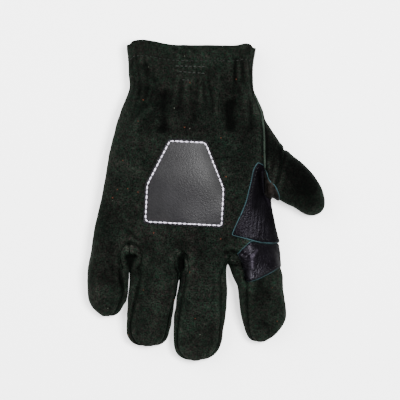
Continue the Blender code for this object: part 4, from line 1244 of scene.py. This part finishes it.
at = np.linspace(*WELT_SPAN, WELT_ROWS)
line, normals = (
    np.stack([np.interp(at, skin.shares, values[skin.ridge, axis]) for axis in range(3)], 1)
    for values in (skin.points, skin.normals)
)
normals = unit(normals)
welt_leather = fibre_material("welt_leather", (0.0115, 0.0170, 0.0125), 0.85)
over = WELT_OVER * ease((at - OVER_START) / OVER_RUN)[:, None]
line = line + normals * (SEAM_GAP + WELT_RADIUS + over)
welt = strip("side_welt_strip", line, normals, WELT_RADIUS, WELT_RADIUS, welt_leather, np.ones(WELT_ROWS))
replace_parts(welt, "side_welt")

# Saddle patch. Smooth black leather laid over the crotch of the thumb and the index knuckle, sewn
# near its edge. The edge is cut raw and shows the teal of the tanning.

Outline = namedtuple("Outline", "x y round")
SADDLE_OUTLINE = rows(
    Outline,
    (257.2, 162.3, 1.0), (252.4, 169.5, 4.0), (251.0, 178.0, 4.0), (248.5, 188.0, 4.0),
    (245.5, 201.0, 5.0), (242.0, 210.5, 5.0), (236.5, 222.0, 5.0), (231.4, 234.4, 0.6),
    (241.0, 237.3, 4.0), (251.0, 240.2, 4.0), (260.0, 242.4, 4.0), (269.0, 242.9, 4.0),
    (295.0, 242.3, 1.0), (295.0, 172.0, 1.0), (264.0, 166.0, 1.0),
)
SADDLE_CREASES = rows(
    Crease,
    (239, 232, 243, 220, 1.3, 0.00002), (242, 233, 247, 208, 1.2, 0.00003),
    (246, 234, 251, 200, 1.2, 0.00005), (250, 236, 255, 196, 1.1, 0.00009),
    (253.5, 237, 258, 200, 1.1, 0.00010), (257, 238, 262, 203, 1.2, 0.00011),
    (261, 239, 265, 206, 1.2, 0.00009), (266, 239, 268, 222, 1.4, 0.00009),
    (270, 238, 271, 216, 1.6, 0.00009), (262, 222, 270, 211, 1.6, 0.00013),
    (263, 206, 269, 203, 1.5, 0.00011), (264, 213, 270, 208, 1.2, 0.00009),
    (258, 190, 255, 172, 1.0, 0.00008), (254, 192, 253, 176, 0.9, 0.00007),
    (250, 204, 253, 186, 1.1, 0.00009),
)
SADDLE_STITCH = (0.0022, 0.0008, 0.00030)
SADDLE_INSET = 0.0026
SADDLE_LIFT = 0.0007
LIFT_START, LIFT_RUN = 236, 5  # pixels down the photograph
LIFT_REACH = 0.004
BEVEL = 0.0010
EDGE_SHARE = 0.35
SETTLE = 0.00040
EDGE_HALF_WIDTH = 0.00046
EDGE_HALF_HEIGHT = 0.00038
EDGE_SPACE = 0.0008
ROUND_STEPS = 7


def outline_of(corners):
    """A closed outline in metres through a table's corners, each rounded over its own reach."""
    x, y, reach = np.array(corners, float).T
    corner = spot(x, y)
    before, after = np.roll(corner, 1, 0) - corner, np.roll(corner, -1, 0) - corner
    shorter = np.minimum(np.linalg.norm(before, axis=1), np.linalg.norm(after, axis=1))
    reach = np.minimum(reach * PIXEL, 0.49 * shorter)[:, None]
    start, end = corner + unit(before) * reach, corner + unit(after) * reach
    t = np.linspace(0, 1, ROUND_STEPS)[None, :, None]
    arc = start[:, None] * (1 - t) ** 2 + 2 * corner[:, None] * t * (1 - t) + end[:, None] * t**2
    return arc.reshape(-1, 2)


def inside_by(places, outline):
    """How far each place lies inside a closed outline, less than 0 outside it.

    The distance is to the nearest side. A place is inside if a line to its right crosses the
    outline an odd number of times."""
    far = np.full(len(places), np.inf)
    odd = np.zeros(len(places), bool)
    for start, end in zip(outline, np.roll(outline, -1, 0)):
        far = np.minimum(far, from_segment(places, start, end))
        rise = end[1] - start[1]
        crossing = start[0] + (end[0] - start[0]) * (places[:, 1] - start[1]) / (rise or 1.0)
        odd ^= ((start[1] > places[:, 1]) != (end[1] > places[:, 1])) & (places[:, 0] < crossing)
    return np.where(odd, far, -far)


def outline_runs(faces, on):
    """Chains of border points that lie on the outline, each in order."""
    border = border_of(faces)
    follow = dict(border[on[border].all(1)].tolist())
    starts = set(follow) - set(follow.values()) or set(list(follow)[:1])
    runs = []
    for start in sorted(starts):
        run = [start, follow[start]]
        while run[-1] in follow and run[-1] != start:
            run.append(follow[run[-1]])
        runs.append(np.array(run))
    return runs


# Painted shading of a patch: where it lies in a fold or hollow its colour is darkened as painted
# shade and its gloss made duller, and its raw edge is darkened with it. A negative depth paints it
# paler there, as a painted highlight.
Dark = namedtuple("Dark", "x y x_end y_end reach depth")


def halved(points, faces, normals, value):
    """Each triangle as four, with normals and value at every point.

    A new point lies at the middle of each edge, off it by an eighth of the ends' normals times
    how far each leans along the edge, so that it is on the curve that meets both normals."""
    ends = np.sort(sides_of(faces), axis=1)
    pairs, number = np.unique(ends, axis=0, return_inverse=True)
    a, b = pairs.T
    run = points[b] - points[a]
    lean = [(run * normals[end]).sum(1)[:, None] * normals[end] for end in (a, b)]
    bend = lean[0] - lean[1]
    points = np.concatenate([points, (points[a] + points[b]) / 2 - bend / 8])
    normals = np.concatenate([normals, unit(normals[a] + normals[b])])
    value = np.concatenate([value, (value[a] + value[b]) / 2])
    ab, bc, ca = (len(points) - len(pairs) + number.ravel()).reshape(3, -1)
    a, b, c = faces.T
    parts = (a, ab, ca), (ab, b, bc), (ca, bc, c), (ab, bc, ca)
    return points, np.concatenate([np.stack(part, 1) for part in parts]), normals, value


def laid_patch(
    name, node_name, regions, outline, material, edge,
    creases=(), painted_shading=(), lift=None, stiff=0, fine=0,
):
    """A sheet laid on these regions of the skin inside an outline, with a strip as its raw edge.

    Its top rises from EDGE_SHARE of the wall at the outline to the whole wall one BEVEL further
    in, and follows its own creases above that. The stiffer it is, the smoother it lies: each step
    moves a point along its normal towards its neighbours' mean, but never deeper than SETTLE. Its
    triangles are halved as often as fine says. Returns the sheet, its strips, and a tree of its
    top for its stitches."""
    faces = skin.region(*regions)
    value = inside_by(skin.points[:, :2], outline)
    points, faces, _, value, normals = split(skin.points, faces, value, skin.normals)
    faces = faces[value[faces].min(1) >= 0]
    points, faces, _, value, normals = split(points, faces, value - BEVEL, normals)
    used, faces = np.unique(faces, return_inverse=True)
    points, faces, value, normals = points[used], faces.reshape(-1, 3), value[used], unit(normals[used])
    laid, out, edges = points, np.zeros(len(points)), edges_of(faces)
    for _ in range(stiff):
        out += ((neighbour_mean(laid, edges) - laid) * normals).sum(1)
        out = np.maximum(out, -SETTLE)
        laid = points + out[:, None] * normals
    if stiff:
        points, normals = laid, normals_of(laid, faces)
    for _ in range(fine):
        points, faces, normals, value = halved(points, faces, normals, value)
    slope = np.clip(value / BEVEL + 1, 0, 1)
    height = SEAM_GAP + OVERLAY_WALL * (EDGE_SHARE + (1 - EDGE_SHARE) * slope)
    for c in creases:
        height += c.height * slope * closeness(points[:, :2], c)
    if lift is not None:
        height = height + lift(points)
    # Painted shading: each row darkens the patch and its raw edge, or paints them paler as a highlight.
    tone = np.ones(len(points))
    for d in painted_shading:
        tone *= 1 - d.depth * closeness(points[:, :2], d)
    solid, triangles, used = walled(points, normals, faces, ((height, 0.0), (SEAM_GAP, 0.0)))
    slot = "badge_vinyl" if node_name == "badge" else "smooth_leather"
    made = piece(name, solid, triangles, material, slot, np.concatenate([tone[used], tone[used]]))
    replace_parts(made, node_name)

    strips = []
    for number, run in enumerate(outline_runs(faces, np.abs(value + BEVEL) < 2e-5), 1):
        line, far = points[run] + normals[run] * height[run, None], way_along(points[run])
        if far[-1] < 4 * EDGE_SPACE:
            continue
        at = np.linspace(0, far[-1], round(far[-1] / EDGE_SPACE) + 1)
        line, ups, shade = (at_way(far, v, at) for v in (line, normals[run], tone[run, None]))
        for _ in range(2):
            line[1:-1] = (line[:-2] + 2 * line[1:-1] + line[2:]) / 4
        line = line + unit(np.cross(ups, np.gradient(line, axis=0))) * (EDGE_HALF_WIDTH / 2)
        sizes = EDGE_HALF_WIDTH, EDGE_HALF_HEIGHT
        strips.append(strip(f"{name}_edge_{number}", line, ups, *sizes, edge, shade[:, 0]))
    return made, strips, BVHTree.FromPolygons(solid.tolist(), triangles[: len(faces)].tolist())


def leather_material(name, gloss, creased):
    """Smooth black leather: pebbled grain, a lavender gloss, and creases down it of this depth. Its
    tone attribute darkens the colour as painted shade where it is low and paints highlights where it
    is high; low tone also makes it rougher.
    """
    colour = (0.00135, 0.00114, 0.00158)
    material, tree, shader = material_of(
        name, colour, 0.34, Specular_IOR_Level=gloss, Specular_Tint=(0.88, 0.84, 1.0, 1.0)
    )
    where = places_of(tree)
    inputs = {"Vector": where, "Rotation": (0.0, 0.0, math.radians(-8)), "Scale": (1.0, 0.10, 1.0)}
    down = node(tree, "Mapping", inputs).outputs[0]
    lines, line_height = mottle(tree, down, 900.0, 0.60, 1.50)
    grain, _ = mottle(tree, where, 260.0, 0.75, 1.35)
    rub, _ = mottle(tree, where, 180.0, 0.24, 0.38, 4.0)
    cells = node(tree, "TexVoronoi", {"Vector": where, "Scale": 900.0}, feature="SMOOTH_F1").outputs[0]
    tone = tone_of(tree)
    dull = ranged(tree, tone, 0.45, 0.0)
    tree.links.new(node(tree, "Math", {0: rub, 1: dull}).outputs[0], shader.inputs["Roughness"])
    # The tone scales the colour from 0.2 to 15.2 times: painted shade and painted highlight.
    tint = multiplied(tree, colour, lines, grain, ranged(tree, tone, 0.2, 15.2, 0.0, 15.0))
    tree.links.new(tint, shader.inputs["Base Color"])
    add_relief(tree, shader, line_height, creased, cells, 0.0002)
    return material


def inset(outline, first, last, distance):
    """Part of an outline between two of its corners, moved inwards."""
    half = ROUND_STEPS // 2
    run = outline[first * ROUND_STEPS + half : last * ROUND_STEPS + half + 1]
    way = unit(np.gradient(run, axis=0))
    side = np.stack([-way[:, 1], way[:, 0]], 1) * distance
    return run + side if inside_by(run + side, outline).mean() > 0 else run - side


leather = leather_material("smooth_leather", 0.053, 0.00012)
creased_leather = leather_material("creased_leather", 0.027, 0.00030)
teal_edge = fibre_material("teal_edge", (0.0130, 0.0310, 0.0350), 0.8)
saddle_outline = outline_of(SADDLE_OUTLINE)


def saddle_lift(points):
    """The lower edge of the saddle stands up over the index patch."""
    low = ease((spot(0, LIFT_START)[1] - points[:, 1]) / (LIFT_RUN * PIXEL))
    return SADDLE_LIFT * low * bell(inside_by(points[:, :2], saddle_outline) / LIFT_REACH)


# Painted shade in the hollow by the thumb's crotch, down its middle and over its right side; painted
# highlights at its lower left and in a streak below the hollow.
SADDLE_PAINTED_SHADING = rows(
    Dark,
    (264.5, 174, 265, 193, 4.0, 1.0), (256, 176, 254, 206, 5.0, 0.9), (270, 212, 276, 238, 6.5, 0.9),
    (264.5, 166.5, 264.5, 166.5, 3.0, 1.0), (260.0, 163.5, 263.5, 166.0, 1.6, 0.5),
    (233, 236, 247, 239, 1.5, 0.4), (240, 224, 246, 234, 7.0, -0.7), (257, 200, 268, 222, 6.0, 0.6),
    (265.0, 196, 268.5, 211, 1.6, -1.6),
)
saddle, sewn_on, saddle_top = laid_patch(
    "saddle_leather", "saddle_patch", ("body back", "body right"), saddle_outline,
    creased_leather, teal_edge, SADDLE_CREASES, SADDLE_PAINTED_SHADING, saddle_lift, stiff=16, fine=2,
)
for number, (first, last) in enumerate(((0, 7), (7, 11)), 1):
    line = laid_line(saddle_top, inset(saddle_outline, first, last, SADDLE_INSET))
    name = f"saddle_stitches_{number}"
    sewn_on.append(stitches(name, *line, *SADDLE_STITCH, black_thread, "smooth_leather"))

# Index patch. A second piece of smooth leather round the root of the index finger. The saddle laps
# over its upper edge, and two rows of stitches hold it beside the crotch.

INDEX_OUTLINE = rows(
    Outline,
    (250.6, 240.6, 0.6), (243.5, 247.0, 3.0), (236.8, 253.8, 0.8), (242.5, 261.0, 3.0),
    (244.8, 270.0, 3.0), (246.4, 281.8, 0.8), (258.0, 278.4, 4.0), (268.0, 273.6, 4.0),
    (280.0, 267.0, 3.0), (300.0, 257.0, 1.0), (300.0, 243.2, 1.0), (269.0, 243.6, 3.0),
    (260.0, 243.1, 3.0),
)
INDEX_CREASES = rows(
    Crease,
    (241, 251, 250, 243, 1.0, 0.00024), (242.5, 255, 253, 245.5, 1.0, -0.00012),
    (245, 257, 255, 248, 1.1, 0.00018), (257, 250, 253.5, 256, 1.4, 0.00024),
)
# Painted shade along its left and top edges, over its right part and its lower edge; painted highlight
# along its gloss streak and along the upper row of stitches.
INDEX_PAINTED_SHADING = rows(
    Dark,
    (238.5, 256.0, 242.5, 261.0, 2.6, 1.0), (242.5, 261.0, 244.8, 270.0, 3.4, 1.0),
    (244.8, 270.0, 246.4, 281.8, 3.2, 1.0), (253, 242.0, 300, 244.0, 2.2, 1.0),
    (274, 248, 280, 264, 6.0, 0.7), (248, 282, 280, 267, 2.0, 0.55), (241, 253, 250, 247, 3.0, -1.0),
    (251.4, 267, 251.2, 255, 1.4, -9.0), (251.5, 255, 255.0, 250, 1.2, -5.0),
)
INDEX_ROWS = (Row(240.5, 255.5, 250.5, 245.5), Row(244.5, 257.0, 255.5, 248.0))
INDEX_STITCH = (0.0022, 0.0013, 0.00030)
INDEX_EDGE_STITCH = (0.0020, 0.0008, 0.00028)
INDEX_INSET = 0.0024
index_outline = outline_of(INDEX_OUTLINE)
index_regions = ("body back", "body right", "index back", "index thumb side")
index, sewn_on, index_top = laid_patch(
    "index_leather", "index_patch", index_regions, index_outline,
    leather, teal_edge, INDEX_CREASES, INDEX_PAINTED_SHADING, stiff=80, fine=2,
)
lilac_thread = thread_material("lilac_thread", (0.022, 0.020, 0.025))
for number, row in enumerate(INDEX_ROWS, 1):
    line = straight_line(index_top, row, 20)
    name = f"index_stitches_{number}"
    sewn_on.append(stitches(name, *line, *INDEX_STITCH, lilac_thread, "smooth_leather"))
line = laid_line(index_top, inset(index_outline, 5, 8, INDEX_INSET))
sewn_on.append(
    stitches("index_stitches_3", *line, *INDEX_EDGE_STITCH, black_thread, "smooth_leather")
)

# Thumb patch. The tongue of smooth leather that lines the crotch of the thumb, its flesh side worn
# brown where it folds, with a teal edge towards the thumb.

TAB_OUTLINE = rows(
    Outline,
    (262.0, 166.0, 0.8), (266.8, 171.0, 2.0), (269.2, 180.6, 3.0), (273.6, 184.2, 2.0),
    (276.2, 187.8, 2.0), (278.2, 191.4, 2.0), (279.6, 196.0, 1.5), (279.4, 206.0, 1.5),
    (262.0, 206.0, 1.0),
)
# Painted shade in the hollow of the crotch and along its lower end; two thin lines are paler.
TAB_PAINTED_SHADING = rows(
    Dark,
    (262.5, 172, 264.8, 184, 2.8, 1.0), (264.8, 184, 265.4, 191, 3.2, 1.0),
    (262, 200, 264, 206, 5.0, 1.0), (266, 199, 279, 200, 4.0, 0.9), (265.0, 168, 267.6, 178, 1.8, 0.8),
    (267.0, 171, 268.5, 182, 1.2, -1.0), (270.5, 183, 272.5, 192, 1.6, -0.4),
)


def worn_leather_material():
    """Leather creased in the crotch, scuffed to a warm grey. Its tone attribute darkens it as painted
    shade in the hollow of the crotch and along its lower end.
    """
    colour = (0.0025, 0.0021, 0.0018)
    material, tree, shader = material_of("worn_leather", colour, 0.62, Specular_IOR_Level=0.02)
    where = places_of(tree)
    scuffs, height = mottle(tree, where, 420.0, 0.5, 1.6, 4.0)
    stains, broad = mottle(tree, where, 120.0, 0.6, 1.3)
    tone = tone_of(tree)
    # The tone scales the colour: painted shade where it is low.
    tint = multiplied(tree, colour, scuffs, stains, ranged(tree, tone, 0.05, 4.6, 0.0, 2.0))
    tree.links.new(tint, shader.inputs["Base Color"])
    add_relief(tree, shader, broad, 0.0006, height, 0.0004)
    return material


tongue, sewn_on, _ = laid_patch(
    "thumb_leather", "thumb_patch", ("gusset", "thumb"), outline_of(TAB_OUTLINE),
    worn_leather_material(), teal_edge, (), TAB_PAINTED_SHADING, stiff=3, fine=1,
)

# Palm patch. Smooth leather over the whole palm, on which the glove lies. The photograph hides it.

PALM_OUTLINE = rows(
    Outline,
    (131.5, 248.0, 18.0), (136.0, 134.5, 18.0), (234.0, 126.5, 18.0), (250.0, 176.5, 22.0),
    (255.0, 242.0, 18.0), (193.0, 248.0, 20.0),
)
PALM_STITCH = (0.0026, 0.0009, 0.00026)
PALM_INSET = 0.0032
PALM_SINK = 0.00036


def border_line(outline, distance):
    """A closed outline moved inwards by this distance, as 241 evenly spaced places."""
    closed = np.vstack([outline, outline[:1]])
    way = unit(np.gradient(closed, axis=0))
    side = np.stack([way[:, 1], -way[:, 0]], 1) * distance
    line = closed + side if inside_by(closed + side, outline).mean() > 0 else closed - side
    far = way_along(line)
    return at_way(far, line, np.linspace(0, far[-1], 241))


palm_outline = outline_of(PALM_OUTLINE)
palm, sewn_on, palm_top = laid_patch(
    "palm_leather", "palm_patch", ("body under",), palm_outline, leather, teal_edge
)
places, _ = laid_line(palm_top, border_line(palm_outline, PALM_INSET))
places[:, 2] += PALM_SINK
downs = np.tile((0.0, 0.0, -1.0), (len(places), 1))
sewn_on.append(
    stitches("palm_stitches", places, downs, *PALM_STITCH, black_thread, "smooth_leather")
)

# Badge. A stiff plate of satin vinyl, house-shaped, with its narrow end to the cuff, sewn round its
# edge with thick pale thread. It carries no print.

BADGE_WIDTH = 0.0621
BADGE_LENGTH = 0.0664
BADGE_TOP_WIDTH = 0.0295
BADGE_SIDE_LENGTH = 0.0305
BADGE_TURN = math.radians(3.0)
BADGE_MIDDLE = np.array([PALM_WIDTH * 0.0045, CUFF_TO_ORIGIN - BODY_LENGTH * 0.6495])
BADGE_ROUND = 2.6  # pixels
BADGE_STITCH = (0.0034, 0.0004, 0.00062)
BADGE_INSET = 0.0016
# Painted shading: the badge darker at its upper right and paler in its lower middle, a painted gradient
# of its satin sheen.
BADGE_PAINTED_SHADING = (Dark(213, 148, 222, 184, 13, 0.75), Dark(164, 192, 214, 222, 16, -0.9))


def badge_corners():
    """Corners of the badge in the photograph's pixels, with their rounding."""
    half, top, tall = BADGE_WIDTH / 2, BADGE_TOP_WIDTH / 2, BADGE_LENGTH / 2
    shoulder = BADGE_SIDE_LENGTH - tall
    right = [(top, tall), (half, shoulder), (half, -tall)]
    places = np.array(right + [(-x, y) for x, y in right[::-1]])
    c, s = math.cos(BADGE_TURN), math.sin(BADGE_TURN)
    places = places @ np.array([[c, -s], [s, c]]) + BADGE_MIDDLE
    pixels = np.stack([places[:, 0], -places[:, 1]], 1) / PIXEL + PHOTO_ORIGIN
    return [Outline(x, y, BADGE_ROUND) for x, y in pixels]


def vinyl_material():
    """Satin dark grey vinyl, with a faint leather print and soft wear. Its tone attribute paints a
    gradient of its sheen into the colour, and makes it duller where it is low.
    """
    colour = (0.0046, 0.0044, 0.0050)
    material, tree, shader = material_of("badge_vinyl", colour, 0.34, Specular_IOR_Level=0.13)
    where = places_of(tree)
    cloud, _ = mottle(tree, where, 60.0, 0.85, 1.2)
    rub, _ = mottle(tree, where, 90.0, 0.31, 0.38)
    dust, dust_height = mottle(tree, where, 700.0, 0.8, 1.25, 4.0)
    cells = node(tree, "TexVoronoi", {"Vector": where, "Scale": 1300.0}, feature="SMOOTH_F1").outputs[0]
    tone = tone_of(tree)
    # The tone scales the colour: the painted gradient of its sheen.
    tint = multiplied(tree, colour, cloud, dust, ranged(tree, tone, 0.4, 2.2, 0.0, 3.0))
    tree.links.new(tint, shader.inputs["Base Color"])
    dull = ranged(tree, tone, 0.30, 0.0)
    tree.links.new(node(tree, "Math", {0: rub, 1: dull}).outputs[0], shader.inputs["Roughness"])
    add_relief(tree, shader, dust_height, 0.00008, cells, 0.00005)
    return material


vinyl_edge = fibre_material("vinyl_edge", (0.0050, 0.0048, 0.0058), 0.7)
badge_outline = outline_of(badge_corners())
_, _, badge_top = laid_patch(
    "badge_plate", "badge", ("body back",), badge_outline,
    vinyl_material(), vinyl_edge, (), BADGE_PAINTED_SHADING, stiff=40,
)
pale_thread = thread_material("pale_thread", (0.56, 0.52, 0.62))
line = laid_line(badge_top, border_line(badge_outline, BADGE_INSET))
stitches("badge_stitches", *line, *BADGE_STITCH, pale_thread, "badge_vinyl")

# Stage. A pale plain floor, soft studio light from above, and the camera straight above the glove.

CAMERA_LENS = 200.0
CAMERA_SENSOR = 36.0
CAMERA_LEVEL = 0.013  # height at which the photograph's scale holds
KEY_POWER = 60.0
KEY_SIZE = 0.45
KEY_PLACE = (0.42, 0.14, 1.30)
FILL_POWER = 40.0
FILL_SIZE = 1.4
FILL_PLACE = (-0.75, 0.45, 0.95)
WORLD_STRENGTH = 0.25
FLOOR_GLOW = 1.2
FLOOR_HALF = 3.0

floor_material, floor_tree, floor_shader = material_of("floor", (0.90, 0.90, 0.90), 0.6)
grain = node(floor_tree, "TexNoise", {"Scale": 4.0, "Detail": 3.0})
shade = node(
    floor_tree, "Mix",
    {0: grain.outputs[0], 6: (0.89, 0.89, 0.895, 1.0), 7: (0.92, 0.92, 0.92, 1.0)}, data_type="RGBA",
)
floor_tree.links.new(shade.outputs[2], floor_shader.inputs["Base Color"])
floor_shader.inputs["Emission Color"].default_value = (1.0, 1.0, 1.0, 1.0)
floor_shader.inputs["Emission Strength"].default_value = FLOOR_GLOW
corners = FLOOR_HALF * np.array([(-1, -1, 0), (1, -1, 0), (1, 1, 0), (-1, 1, 0)])
floor_mesh = mesh_of("floor", corners, np.array([(0, 1, 2), (0, 2, 3)]))
floor_mesh.materials.append(floor_material)
floor = bpy.data.objects.new("floor", floor_mesh)
bpy.context.scene.collection.objects.link(floor)


def soft_light(name, place, size, power):
    """A square area light that faces the glove."""
    light = bpy.data.lights.new(name, "AREA")
    light.size, light.energy = size, power
    made = bpy.data.objects.new(name, light)
    made.location = place
    made.rotation_euler = (-Vector(place)).to_track_quat("-Z", "Y").to_euler()
    bpy.context.scene.collection.objects.link(made)


soft_light("key", KEY_PLACE, KEY_SIZE, KEY_POWER)
soft_light("fill", FILL_PLACE, FILL_SIZE, FILL_POWER)
world = bpy.data.worlds.new("studio")
world.use_nodes = True
world.node_tree.nodes["Background"].inputs["Color"].default_value = (1.0, 1.0, 1.0, 1.0)
world.node_tree.nodes["Background"].inputs["Strength"].default_value = WORLD_STRENGTH
bpy.context.scene.world = world

camera_data = bpy.data.cameras.new("camera")
camera_data.lens, camera_data.sensor_width = CAMERA_LENS, CAMERA_SENSOR
camera = bpy.data.objects.new("camera", camera_data)
distance = CAMERA_LENS / CAMERA_SENSOR * PHOTO_SIDE * PIXEL
camera.location = (*spot(PHOTO_SIDE / 2, PHOTO_SIDE / 2), CAMERA_LEVEL + distance)
bpy.context.scene.collection.objects.link(camera)
bpy.context.scene.camera = camera
